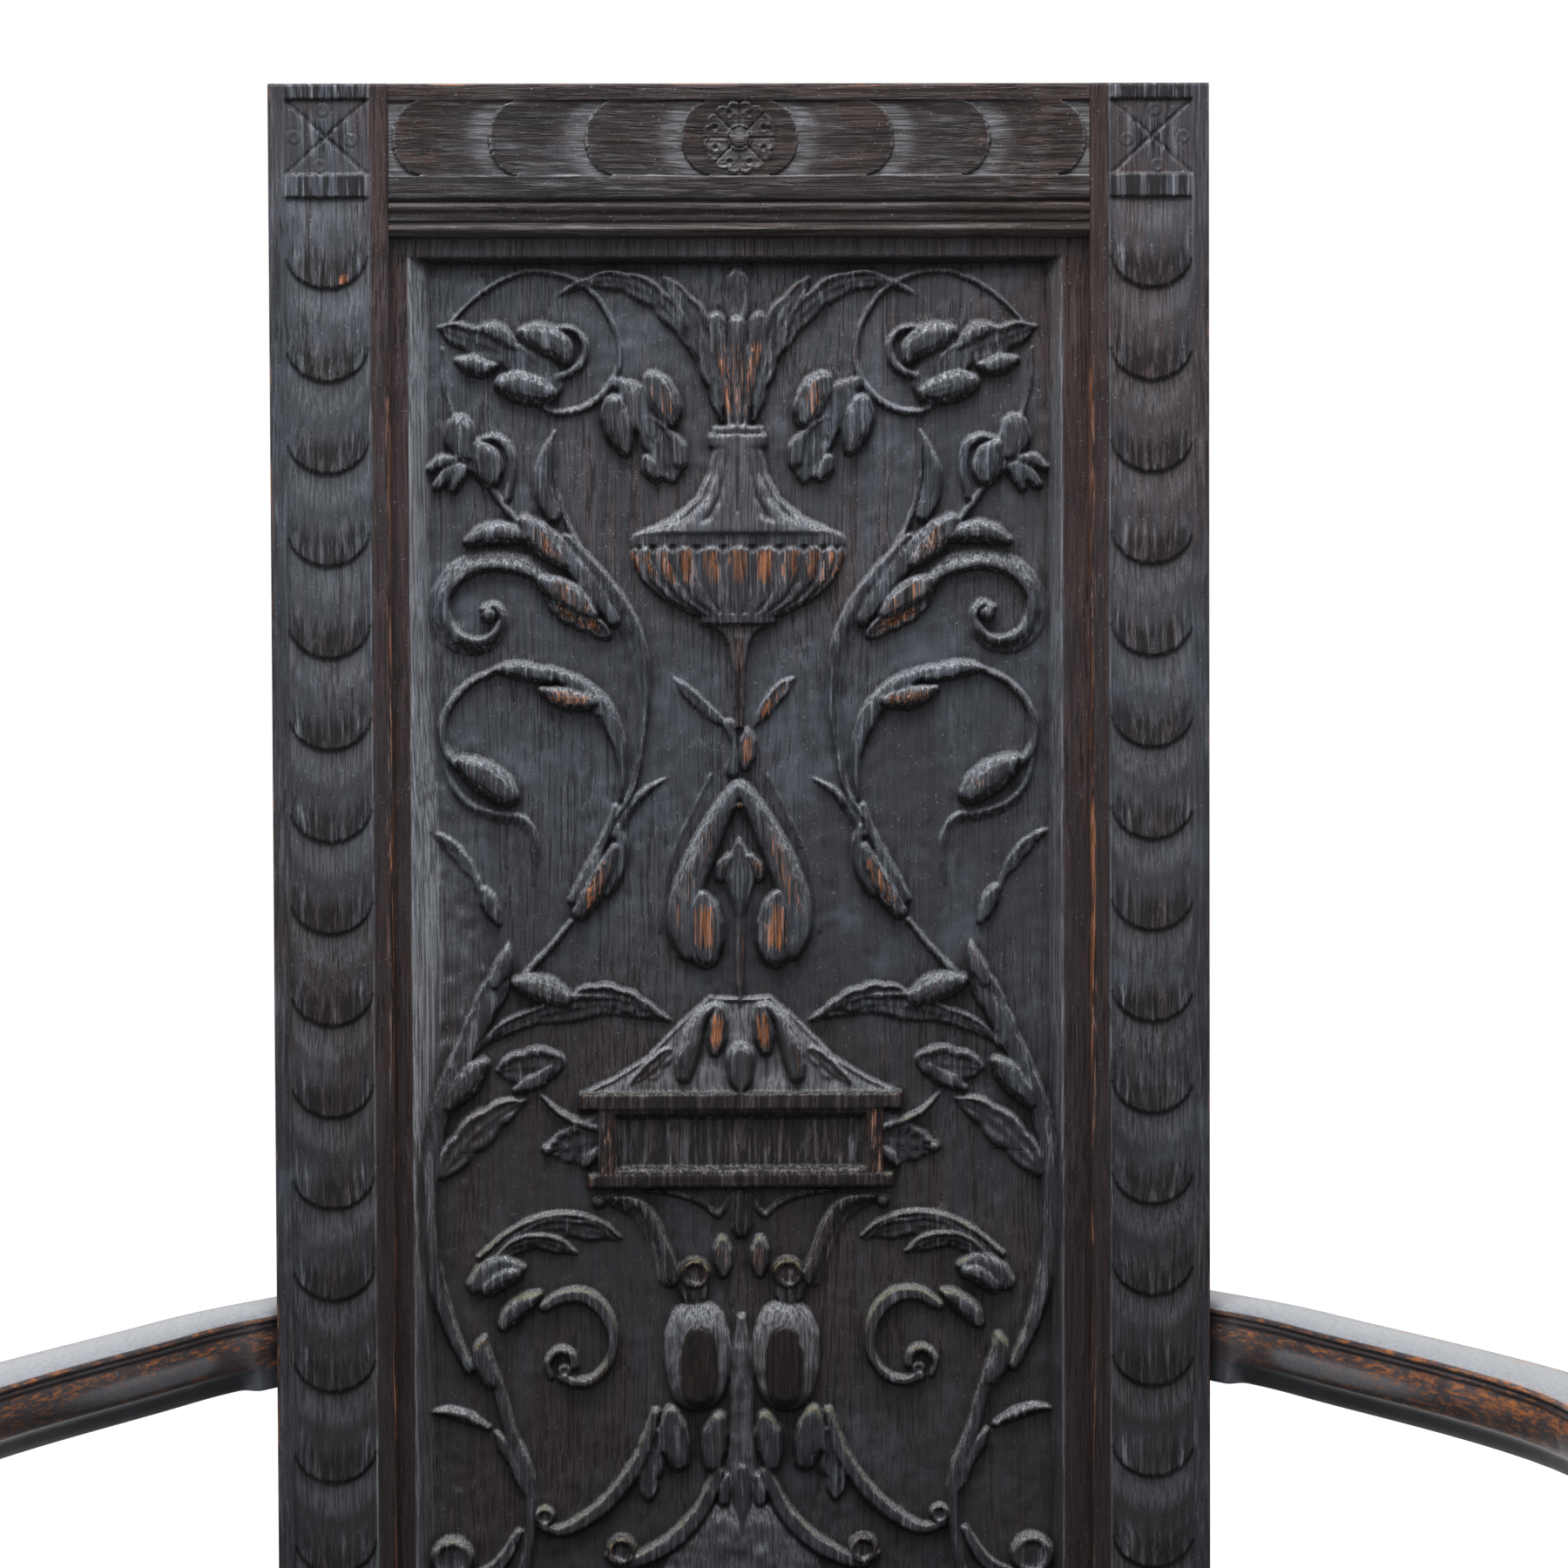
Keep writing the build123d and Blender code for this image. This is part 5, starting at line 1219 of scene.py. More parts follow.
    def level(self, board: Relief, inner: Array) -> tuple[Array, Array]:
        """Finished face: border, slopes, and the carving on a ground left by the gouge.

        The higher of slope and carving stands, and the ground swells a little towards the carving.

        Args:
            board: the carving.
            inner: share of the way down the nearest slope.

        Returns:
            Height over the border, and height over the ground.
        """
        tool = blurred(np.random.default_rng(11).normal(size=inner.shape), 5.0)
        tool = 0.16 * tool / tool.std()
        raised = np.clip(board.height, 0, None)
        raised = 0.86 * raised + 0.30 * blurred(raised, 3.2 / board.cell)
        level = np.maximum(-self.sunk * np.clip(inner, 0, 1), -self.sunk + raised) + tool * (inner > 0.9)
        return blurred(np.minimum(level, 0.0), 0.32 / board.cell), raised

    def marks(self, board: Relief, v: Array, level: Array, raised: Array, edges: Edges) -> dict[str, Array]:
        """Surface values of the face.

        Lie is the fall of the surface, 1 where it faces up and -1 where it faces down; hollow is
        how far it lies below its surroundings. Both paint light into the colour: highlight on what
        faces up, shade on what faces down and in hollows. Dust lies in corners, most of all low down.

        Args:
            board: the carving.
            v: up from the seat.
            level: height over the border.
            raised: height over the ground.
            edges: places on the slopes.

        Returns:
            Values by name.
        """
        inner, wide = edges.inner, edges.wide
        border, at_head = inner < 0.0, edges.head <= inner
        standing, ground = raised > 1.0, raised < 1.0
        broad, near = blurred(level, 3.2 / board.cell), blurred(level, 1.0 / board.cell)
        fall = -np.gradient(level, board.cell, axis=0)
        gentle = np.maximum(fall - 0.07, 0)
        lie = np.where(fall > 0, gentle / (0.50 + gentle), np.clip(fall / 1.1, -1, 0))
        low = ease((430 - v) / 170)
        rim = np.clip(level - near, 0, 1) * np.clip(lie, 0, 1) * 3.2
        corner = np.clip((near - level) * 2.2 - 0.1, 0, 1)
        dust = np.clip(0.5 * corner * (0.3 + 0.7 * low) + rim * low, 0, 1)
        ridge = np.clip((level - near) * 1.3, 0, 1) * np.clip((level - broad) / 3.0, 0, 1)
        wear = np.clip(board.wear + 0.10 * ridge, 0, 1)
        tint = np.clip(0.9 * border * (1 - 0.6 * at_head) + board.tint * standing, 0, 1)
        pale = np.clip(-board.tint, 0, 1) * standing
        rough = 0.35 * border + 0.85 * np.clip(board.tint, 0, 1) * standing - 0.6 * pale
        rough = rough + 0.65 * ease((raised - 1.2) / 1.2) * ease((0.95 - lie) / 0.5) * (1 - pale)
        # pale forms get a painted highlight
        lie = np.where(inner < 0.02, 0.0, lie * (1 - 0.45 * pale) + 0.60 * pale)
        # painted light on the slopes: the side slopes lit, the broader left one and the ground beside it more,
        # the head slope in shade, a light line along the top of the side slopes
        sloped = np.where(wide > 1, 0.44 + 0.10 * (wide - 1), 0.30) * (0.60 + 0.40 * ease((v - 230) / 150))
        on_slope = (inner > 0) & (inner < 1) & ground
        lie = np.where(on_slope, np.where(at_head, -0.7, sloped), lie)
        lie = lie + 0.30 * (wide - 1) * ease((3.4 - inner) / 1.6) * (inner > 1) * ground
        lie = lie + 0.5 * bell(inner - 0.04, 0.06) * (edges.side <= inner)
        # painted shade in hollows, under the head slope, on the border and in the slots of the capsules
        hollow = np.clip((broad - level - 0.25) / 1.8, 0, 1)
        hollow = np.clip(hollow - np.minimum(board.wear, 0), 0, 1)
        hollow = hollow + 0.8 * (at_head & (inner > 0.5) & (inner < 1.6)) + 0.22 * border
        hollow = np.clip(hollow + 0.55 * ease((board.tint - 0.9) / 0.08) * (raised > 3.0), 0, 1)
        rough = np.clip(rough, -1, 1)
        return {"wear": wear, "dust": dust, "lie": lie, "hollow": hollow, "tint": tint, "rough": rough}

    def surface(self) -> tuple[Array, Array, Array, dict[str, Array]]:
        """Finished face of the panel, on every second cell of the carved grid.

        Returns:
            u, v and w on the mesh grid, and its surface values by name.
        """
        board = self.relief()
        u, v = np.meshgrid(board.u, board.v)
        edges = self.edges(u, v)
        level, raised = self.level(board, edges.inner)
        fields = self.marks(board, v, level, raised, edges)
        step = (slice(None, None, 2), slice(None, None, 2))
        w = level[step] - self.setback
        return u[step], v[step], w, {name: blurred(values, 0.9)[step] for name, values in fields.items()}

    def build(self, finish: OakFinish) -> None:
        """Makes the panel as level bands that meet edge to edge.

        Args:
            finish: oak of the panel.
        """
        u, v, w, fields = self.surface()
        cuts = np.linspace(0, u.shape[0] - 1, self.bands + 1).astype(int)
        for number, (start, stop) in enumerate(zip(cuts, cuts[1:])):
            rows = slice(start, stop + 1)
            front = self.plane.points(u[rows], v[rows], w[rows])
            name = f"back_panel_carving_{number + 1}"
            piece = backed_board(name, front, self.plane, u[rows], v[rows], -self.setback - self.thickness)
            rest = np.zeros(len(piece.data.vertices) - front.shape[0] * front.shape[1])
            band = {key: np.concatenate([values[rows].ravel(), rest]) for key, values in fields.items()}
            set_values(piece, band)
            dress(piece, finish, "back_panel")


def backed_board(
    name: str, front: Array, plane: BackPlane, u: Array, v: Array, depth: float
) -> bpy.types.Object:
    """Closed board with a carved front, straight edges and a flat back.

    Args:
        name: name of the object.
        front: grid of front points, rows by columns by 3, in metres.
        plane: the plane that u and v are on.
        u: across, for the edge of the back.
        v: up.
        depth: w of the back.

    Returns:
        The object.
    """
    rows, columns = front.shape[:2]
    index = np.arange(rows * columns).reshape(rows, columns)
    rim = np.concatenate([index[0, :-1], index[:-1, -1], index[-1, :0:-1], index[:0:-1, 0]])
    back = plane.points(u.ravel()[rim], v.ravel()[rim], np.full(len(rim), depth))
    count = rows * columns
    ring = count + np.arange(len(rim))
    after = np.roll(rim, -1)
    ring_after = np.roll(ring, -1)
    walls = np.stack([ring, ring_after, after, rim], -1)
    points = np.concatenate([front.reshape(-1, 3), back])
    return mesh_object(name, points, [grid_faces(rows, columns), walls, ring[::-1][None, :]], 80.0)


@dataclass
class ScaledPost:
    """A rear post: an upright leg and a raked head with a strip of overlapping scales."""

    plane: BackPlane
    side: int  # -1 is the sitter's right, called left as seen from the front
    outer: float = 200.0
    inner: float = 149.0
    depth: float = 45.0
    strip_outer: float = 193.0
    strip_inner: float = 158.0
    strip_depth: float = 2.5
    top_margin: float = 6.5
    square: float = 32.0
    bar: float = 9.5
    strip_foot: float = 12.0
    pitch: float = 39.2
    first_edge: float = 86.8  # lowest point of the first scale below the head
    punches: tuple[Point, ...] = ((0.08, 0.72), (0.77, 0.0), (-0.60, -0.09), (0.15, -0.77))
    cell: float = 0.6

    def face(self, u: Array, v: Array) -> tuple[Array, dict[str, Array]]:
        """Height and attributes of the front face.

        Scales: each falls from its proud round lower edge back to the ground under the scale
        above. Square: a sunk field, rough in the middle, with two V cuts from corner to corner
        and four ring punches.

        Args:
            u: distance across from the middle of the chair, always positive.
            v: up from the seat.

        Returns:
            w, and the point attributes by name.
        """
        middle = (self.strip_outer + self.strip_inner) / 2
        half = (self.strip_outer - self.strip_inner) / 2
        length = self.plane.length
        square_top = length - self.top_margin
        square_foot = square_top - self.square
        strip_top = square_foot - self.bar
        s = (u - middle) / half
        inside = np.abs(s) < 1
        held = np.clip(s, -1, 1)
        arc = 16.0 * (1 - np.sqrt(1 - held**2))
        place = (v - arc - (length - self.first_edge)) / self.pitch
        upward = place - np.floor(place)
        drop = -0.75 * self.strip_depth + (0.75 * self.strip_depth - 0.25) * (1 - upward) ** 1.25
        drop = drop - 0.35 * held**2 * (1 - upward) - 0.12 * np.cos(14 * s) * ease((0.45 - upward) / 0.3)
        strip = inside & (v < strip_top) & (v > self.strip_foot)
        x, y = s, (v - (square_top + square_foot) / 2) / (self.square / 2)
        in_square = inside & (np.abs(y) < 1)
        cut = 0.9 * bell((np.abs(x) - np.abs(y)) * half, 1.0)
        rings = np.zeros_like(u)
        for across, up in self.punches:
            gap = np.hypot((x - across) * half, (y - up) * self.square / 2)
            rings = rings + 0.5 * bell(gap - 2.3, 0.5) - 0.3 * bell(gap - 3.2, 0.5)
        middle_rough = np.clip(1 - 1.25 * np.maximum(np.abs(x), np.abs(y)), 0, 1)
        w = np.where(strip, drop, 0.0)
        w = np.where(in_square, -1.5 - cut + rings, w)
        w = blurred(w, 0.55)
        # painted light: highlight where the face looks up, on the upper part of each scale and along the
        # strip's inner edge, shade on the lower part and in the middle of the square
        lie = np.clip(-np.gradient(w, v[:, 0], axis=0) / 1.3, -1, 1)
        lie = lie + np.where(strip, 0.26 * ease((upward - 0.42) / 0.3) - 0.38 * ease((0.5 - upward) / 0.3), 0.0)
        squared = in_square | (np.abs(y) < 1.15) & inside
        lie = np.where(squared, np.minimum(lie, 0.15) + 0.08 - 0.5 * middle_rough, lie)
        lie = lie + 0.5 * bell(u - self.strip_inner + 0.5, 0.6) * (v > self.strip_foot)
        # painted shade under the lip of each scale, deeper lower down, under the bar over the square and on the
        # margins
        hollow = 0.35 * ease((upward - 0.93) / 0.06) + 0.30 * ease((upward - 0.80) / 0.18)
        hollow = np.where(strip, hollow + 0.18 * ease((460 - v) / 160), 0.0)
        hollow = hollow + np.where(in_square, 0.75 * ease((y - 0.90) / 0.07), 0.0)
        inner_margin = u < self.strip_inner - 1
        patchy = 0.25 + 0.75 * drift(v, 17.0, 5) * drift(v, 61.0, 6) ** 0.5
        worn = bell(u - self.inner, 1.5) * (0.15 + 0.85 * ease((v - 330) / 60))
        worn = worn * ease((length - 100 - v) / 60) * 1.2 * patchy
        worn = worn + 0.45 * bell(u - self.outer, 0.8) * patchy
        if self.side < 0:  # a bare fleck on the first scale
            spot = np.hypot((s + 0.42) * half, v - (length - self.first_edge) - 4.0)
            worn = worn + 2.4 * ease((2.2 - spot) / 0.4)
        dust = np.where(strip, 0.35 * ease((upward - 0.90) / 0.08), 0.0) * (drift(v, 23.0, 8) > 0.5)
        hollow = hollow + 0.30 * inner_margin + 0.12 * (u > self.strip_outer)
        tint = 0.55 * ease((0.5 - upward) / 0.3) * ease((0.75 - np.abs(s)) / 0.3)
        tint = 0.85 * inner_margin + np.where(strip, tint, 0.0)
        plain_bar = inside & ((v > square_top) | ((v < square_foot) & (v > strip_top)))
        rough = np.where(strip, 0.80 * ease((0.55 - upward) / 0.35) * ease((1.0 - np.abs(s)) / 0.2), 0.0)
        rough = rough + np.where(in_square, 1.4 * middle_rough, 0.0) + 0.95 * plain_bar + 0.35 * ~inside
        lie, rough = np.clip(lie, -1, 1), np.clip(rough, 0, 1)
        return w, {"wear": worn, "dust": dust, "lie": lie, "hollow": hollow, "tint": tint, "rough": rough}

    def build(self, finish: OakFinish) -> None:
        """Makes the post as a closed section carried up from the floor.

        Args:
            finish: oak of the post.
        """
        name = "left_rear_post" if self.side < 0 else "right_rear_post"
        low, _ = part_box(name)
        floor = low[2] / MM - self.plane.seat
        leg = np.linspace(floor, -3.0, 30)
        head = np.arange(0.0, self.plane.length, self.cell * 1.1)
        stations = np.concatenate([leg, head, [self.plane.length - 0.6, self.plane.length]])
        stations = np.unique(np.round(stations, 3))
        edge = np.array([0.0, 0.35, 1.2])
        front_u = np.concatenate(
            [
                self.outer - edge,
                np.arange(self.outer - 2.5, self.strip_outer + 1.0, -1.5),
                np.arange(self.strip_outer + 0.6, self.strip_inner - 1.0, -self.cell),
                np.arange(self.strip_inner - 1.8, self.inner + 2.2, -1.2),
                self.inner + edge[::-1],
            ]
        )
        fall = np.zeros(len(front_u))
        fall[:3] = (-1.2, -0.35, 0.0)
        fall[-3:] = (0.0, -0.35, -1.2)
        uu, vv = np.meshgrid(front_u, stations)
        w, fields = self.face(uu, vv)
        end = np.clip((self.plane.length - vv) / 1.0, 0, 1)
        w = w + fall[None, :] - 0.8 * (1 - end)
        sides_u = np.array([self.inner, self.inner, self.inner + 1.0, self.outer - 1.0, self.outer, self.outer])
        sides_w = np.array([-12.0, -self.depth + 1.0, -self.depth, -self.depth, -self.depth + 1.0, -12.0])
        ring_u = np.concatenate([uu, np.broadcast_to(sides_u, (len(stations), 6))], 1) * self.side
        ring_w = np.concatenate([w, np.broadcast_to(sides_w, (len(stations), 6))], 1)
        ring_v = np.broadcast_to(stations[:, None], ring_u.shape)
        turn = slice(None, None, -1 if self.side > 0 else 1)
        rings = self.plane.points(ring_u[:, turn], ring_v[:, turn], ring_w[:, turn])
        piece = tube_object(f"{name}_carved", rings, 60.0)
        pad = np.zeros((len(stations), 6))
        set_values(piece, {key: np.concatenate([values, pad], 1)[:, turn] for key, values in fields.items()})
        dress(piece, finish, name)


@dataclass
class CoinRail:
    """The top rail: a sunk band of overlapping coins about a rosette, over reeds."""

    plane: BackPlane
    half: float = 149.0
    height: float = 65.0
    depth: float = 34.0
    margin: float = 7.0
    band: float = 32.0
    band_depth: float = 2.5
    flat: float = 9.5
    coin_pitch: float = 40.9
    disc: float = 24.6  # half width of the middle coin
    rosette: float = 16.0
    petals: int = 8
    boss: float = 4.3

    def flower(self, across: Array, up: Array) -> tuple[Array, Array]:
        """Rosette: wedge petals parted by cut lines, each with two lobes and a drilled eye.

        Args:
            across: from the middle of the rosette.
            up: from its middle.

        Returns:
            Height, and the radius of the outline at that angle less the distance out.
        """
        radius = np.hypot(across, up)
        part = np.arctan2(up, across) * self.petals / (2 * np.pi)
        part = part - np.round(part)
        lobes = np.abs(np.sin(2 * np.pi * part))
        outline = self.rosette * (0.88 + 0.12 * lobes**0.7)
        inward = outline - radius
        tall = -1.9 + 1.2 * (radius / outline) ** 1.4 + 0.55 * bell(inward - 1.1, 0.7)
        line = radius * np.sin(np.abs(part) * 2 * np.pi / self.petals)
        tall = tall - 0.9 * bell(line, 0.5)
        beside = radius * np.sin((0.5 - np.abs(part)) * 2 * np.pi / self.petals)
        eye = np.hypot(radius - 0.70 * self.rosette, beside)
        tall = tall - 1.3 * bell(eye, 0.9) + 0.35 * bell(eye - 1.7, 0.5)
        knob = -1.2 + 1.2 * np.sqrt(np.clip(1 - (radius / self.boss) ** 2, 0, 1))
        tall = np.where(radius < self.boss, knob, tall)
        tall = tall + 1.1 * bell(radius - self.boss - 0.7, 0.5)
        return tall, inward

    def face(self, u: Array, v: Array) -> tuple[Array, dict[str, Array]]:
        """Height and attributes of the face.

        Coins: each falls from its round outer edge to the ground under the next. The reeds
        are half rounds and fillets.

        Args:
            u: across.
            v: up from the seat.

        Returns:
            w, and the point attributes by name.
        """
        down = self.plane.length - v
        middle = self.margin + self.band / 2
        s = np.clip((down - middle) / (self.band / 2), -1, 1)
        arc = 13.5 * (1 - np.sqrt(1 - s**2))
        place = (np.abs(u) + arc - self.disc) / self.coin_pitch
        outward = np.ceil(place) - place
        coin = -0.66 * self.band_depth + (0.66 * self.band_depth - 0.4) * (1 - outward) ** 1.1
        # painted highlight on the coins, their rims, the middle disc and the rosette
        pale_wax_and_highlight = 0.62 * ease((outward - 0.60) / 0.3) * (0.35 + 0.65 * drift(v, 9.0, 9))
        pale_wax_and_highlight = pale_wax_and_highlight + 1.1 * bell(outward * self.coin_pitch, 0.9)
        # painted shade at the edge of each coin and round the rosette
        hollow = 0.20 * ease((outward - 0.96) / 0.03)
        disc = place < 0
        rim = (np.abs(u) + arc) / self.disc
        coin = np.where(disc, -1.2 + 0.6 * ease(rim), coin)
        pale_wax_and_highlight = np.where(disc, 0.9 * bell((1 - rim) * self.disc, 1.0) - 0.3, pale_wax_and_highlight)
        hollow = np.where(disc, 0.0, hollow)
        flower, inward = self.flower(u, middle - down)
        coin = np.where(inward > 0, flower, coin)
        pale_wax_and_highlight = np.where(inward > 0, 0.35, pale_wax_and_highlight)
        hollow = np.where(disc & (inward < 0), 0.6 * np.exp(inward / 0.8), hollow)
        band = (down > self.margin) & (down < self.margin + self.band)
        w = np.where(band, coin, 0.0)
        reed_top = self.margin + self.band + self.flat
        marks = reed_top + np.array([0.0, 1.2, 2.4, 5.4, 6.6, 9.2, 10.2, 13.4, 16.6])
        steps = np.array([0.0, -1.6, -0.6, -0.6, -1.9, -1.7, -2.4, -1.0, -3.2])
        w = np.where(down > reed_top, np.interp(down, marks, steps), w)
        reed = (down > marks[2]) & (down < marks[3])
        w = w + np.where(reed, 0.6 * np.sin(np.pi * (down - marks[2]) / (marks[3] - marks[2])), 0.0)
        low = (down > marks[6]) & (down < marks[8])
        w = w + np.where(low, 0.7 * np.sin(np.pi * (down - marks[6]) / (marks[8] - marks[6])), 0.0)
        w = np.minimum(w, 0.0)
        # lie paints light and shade on the reeds, weakly
        lie = np.clip(np.gradient(w, down[0], axis=1) / 1.2, -1, 1) * np.where(down > reed_top, 0.10, 0.6)
        lie = lie + np.where(band, pale_wax_and_highlight, 0.0)
        patchy = drift(u, 21.0, 3)
        wear = 0.55 * bell(down, 1.0) * patchy
        tint = np.where(down < self.margin, 0.8, 0.25) + np.where(down > marks[1], 0.35, 0.0)
        tint = tint + np.where(band, 0.8 * ease((0.6 - outward) / 0.3) * drift(u, 30.0, 4), 0.0)
        # painted shade in the reeds' grooves, at the foot of the rail and lightly over the whole face
        hollow = np.where(band, hollow, 0.0) + 0.9 * bell(down - marks[1] - 0.2, 0.9) + 0.15
        hollow = hollow + 0.9 * bell(down - marks[5] - 0.9, 1.0)
        hollow = hollow + 0.8 * ease((down - marks[8] + 1.5) / 1.5)
        rough = np.where(down > reed_top, 0.45, 0.70) + np.where(band, -0.45 * ease((outward - 0.5) / 0.3), 0.0)
        lie = np.clip(lie, -1, 1)
        hollow, tint, rough = (np.clip(values, 0, 1) for values in (hollow, tint, rough))
        return w, {"wear": wear, "lie": lie, "hollow": hollow, "tint": tint, "rough": rough}

    def build(self, finish: OakFinish) -> None:
        """Makes the rail as a closed section carried across.

        Args:
            finish: oak of the rail.
        """
        fine = np.arange(0.0, 26.0, 0.45)
        side = np.concatenate([fine, np.linspace(26.0, self.half, 165)])
        u = np.concatenate([-side[:0:-1], side])
        head = self.plane.length
        down = np.concatenate([[0.0, 0.35, 1.2], np.arange(2.0, self.height, 0.55), [self.height]])
        uu, dd = np.meshgrid(u, down, indexing="ij")
        w, fields = self.face(uu, head - dd)
        w = w - np.where(dd < 1.2, 1.2 - np.sqrt(np.clip(1.2**2 - (1.2 - dd) ** 2, 0, None)), 0.0)
        ring_v = np.concatenate([head - dd, np.broadcast_to([head - self.height, head], (len(u), 2))], 1)
        ring_w = np.concatenate([w, np.full((len(u), 2), -self.depth)], 1)
        ring_u = np.broadcast_to(u[:, None], ring_w.shape)
        rings = self.plane.points(ring_u, ring_v, ring_w)
        piece = tube_object("top_rail_carved", rings[:, ::-1], 60.0)
        pad = np.zeros((len(u), 2))
        set_values(piece, {key: np.concatenate([values, pad], 1)[:, ::-1] for key, values in fields.items()})
        dress(piece, finish, "top_rail")


# Section of an arm: distance from the edge, height below the top, wear
ARM_INNER = (
    (14.0, 0.0, 0.0), (8.0, 0.5, 0.0), (4.0, 1.5, 0.0), (2.0, 2.3, 0.1), (0.8, 2.9, 0.5),
    (0.0, 3.8, 0.9), (0.2, 4.5, 0.3), (1.4, 4.9, 0.0), (1.5, 5.4, 0.0), (0.7, 5.9, 0.1),
    (0.5, 6.8, 0.15), (0.9, 7.6, 0.1), (1.4, 8.1, 0.1), (0.9, 9.3, 0.7), (0.4, 10.9, 0.9),
    (0.1, 13.0, 0.65), (0.0, 15.5, 0.3), (0.4, 18.0, 0.2), (1.2, 21.0, 0.25), (2.3, 23.4, 0.4),
    (3.3, 24.7, 0.2), (4.4, 25.4, 0.0), (5.6, 27.4, 0.0), (7.4, 30.4, 0.0), (9.2, 33.2, 0.0),
    (10.4, 34.0, 0.0),
)
ARM_OUTER = (
    (14.0, 34.0, 0.0), (3.0, 34.0, 0.1), (1.0, 33.2, 0.4), (0.0, 31.5, 0.2), (0.0, 18.0, 0.0),
    (0.0, 3.0, 0.2), (0.6, 1.0, 0.7), (2.4, 0.0, 0.3), (10.0, 0.0, 0.0),
)


@dataclass
class BowedArm:
    """An arm that leaves the post outwards, bows forward and ends in a round hand."""

    plane: BackPlane
    side: int
    top: float = 717.0
    setback: float = 10.0
    butt_width: float = 36.0
    waist_out: float = 34.0
    waist_width: float = 25.0
    splay: float = math.radians(37.0)
    bow_reach: float = 49.0
    bow_width: float = 33.0
    post_x: float = 298.0
    post_y: float = -209.8
    hand: float = 27.0
    hand_share: float = 0.72
    stations: int = 240

    def outline(self) -> tuple[Array, Array]:
        """Inner and outer edges in plan.

        Each runs as a smooth curve from the post through the waist and the bow to the hand,
        and then round the hand to its tip.

        Returns:
            Inner and outer points, n by 2 each, pair by pair across the arm.
        """
        butt_y = self.plane.face + (self.top - self.plane.seat) * math.tan(self.plane.rake) + self.setback
        start = 200.0
        waist = np.array([start + self.waist_out, butt_y - self.waist_out / math.tan(self.splay)])
        across = np.array([math.cos(self.splay), math.sin(self.splay)])
        bow = np.array([self.post_x + self.bow_reach, self.post_y + 0.5 * (butt_y - self.post_y)])
        hand_back = self.post_y + self.hand * self.hand_share
        reach = self.hand * math.sqrt(1 - self.hand_share**2)
        inner = [(start, butt_y), waist, (bow[0] - self.bow_width, bow[1]), (self.post_x - reach, hand_back)]
        outer = [
            (start, butt_y + self.butt_width),
            waist + across * self.waist_width,
            bow,
            (self.post_x + reach, hand_back),
        ]
        inner_line, outer_line = smooth_line(inner, self.stations), smooth_line(outer, self.stations)
        turn = np.linspace(math.asin(self.hand_share), -math.radians(86), 60)[1:, None]
        centre = np.array([self.post_x, self.post_y])
        inner_hand = centre + self.hand * np.concatenate([-np.cos(turn), np.sin(turn)], 1)
        outer_hand = centre + self.hand * np.concatenate([np.cos(turn), np.sin(turn)], 1)
        return np.vstack([inner_line, inner_hand]), np.vstack([outer_line, outer_hand])

    def build(self, finish: OakFinish) -> None:
        """Makes the arm as a moulded section carried along its plan.

        The section goes down the inner edge through a bead, a rounded face and a chamfer, back
        along the underside and up the rounded outer edge. Mouldings fade out at the post.

        Args:
            finish: oak of the arm.
        """
        inner, outer = self.outline()
        profile, far = np.array(ARM_INNER), np.array(ARM_OUTER)
        plain = np.array([(min(e, 1.0) if i > 5 else e) for i, e in enumerate(profile[:, 0])])
        count = len(inner)
        steps = np.concatenate([[0], np.cumsum(np.linalg.norm(np.diff(inner, axis=0), axis=1))])
        stop = ease((steps - 10.0) / 14.0)[:, None]
        width = np.linalg.norm(outer - inner, axis=1)[:, None]
        across = (outer - inner) / np.maximum(width, 1e-6)
        fit = np.minimum(1.0, 0.42 * width / 10.4)
        inside = (plain * (1 - stop) + profile[:, 0] * stop) * fit
        outside = width - far[:, 0] * fit
        e = np.concatenate([inside, outside], 1)
        down = np.concatenate([profile[:, 1], far[:, 1]])[None, :] * np.ones((count, 1))
        worn = np.concatenate([profile[:, 2], far[:, 2]])[None, :] * np.ones((count, 1))
        place = inner[:, None, :] + across[:, None, :] * e[..., None]
        z = self.top - down
        rings = np.concatenate([place, z[..., None]], -1) * MM
        rings[..., 0] *= self.side
        turn = slice(None, None, 1 if self.side < 0 else -1)
        name = "left_arm" if self.side < 0 else "right_arm"
        piece = tube_object(f"{name}_moulded", rings[:, turn], 50.0)
        rubbed_from = 60.0 if self.side > 0 else 110.0
        patchy = 0.5 + 0.7 * drift(steps, 13.0, 2 + self.side)
        patchy = (patchy * (0.35 + 0.85 * ease((steps - rubbed_from) / 130.0)))[:, None]
        # painted sheen: lie lights the top and a glossy band along the inner face
        gloss = 0.80 * ease((steps - 24.0) / 26.0) * ease((170.0 - steps) / 90.0)
        ledge = np.where((down < 2.6) & (e > 0.8), 0.8, 0.0)
        ledge = ledge + gloss[:, None] * np.exp(-(((down - 17.5) / 4.5) ** 4))
        # painted shade in the bead's grooves and on the chamfer below
        hollow = 0.9 * bell(down - 5.1, 0.4) + 0.5 * bell(down - 8.1, 0.3)
        hollow = hollow + 0.75 * ease((down - 24.5) / 1.5)
        tint = np.where((down > 2.8) & (down < 24.0), 0.55, 0.0)
        hollow = np.where(e < width / 2, hollow * stop, 0.0)
        fields = {"wear": worn * patchy, "lie": ledge, "hollow": hollow, "tint": tint}
        set_values(piece, {key: values[:, turn] for key, values in fields.items()})
        dress(piece, finish, name)


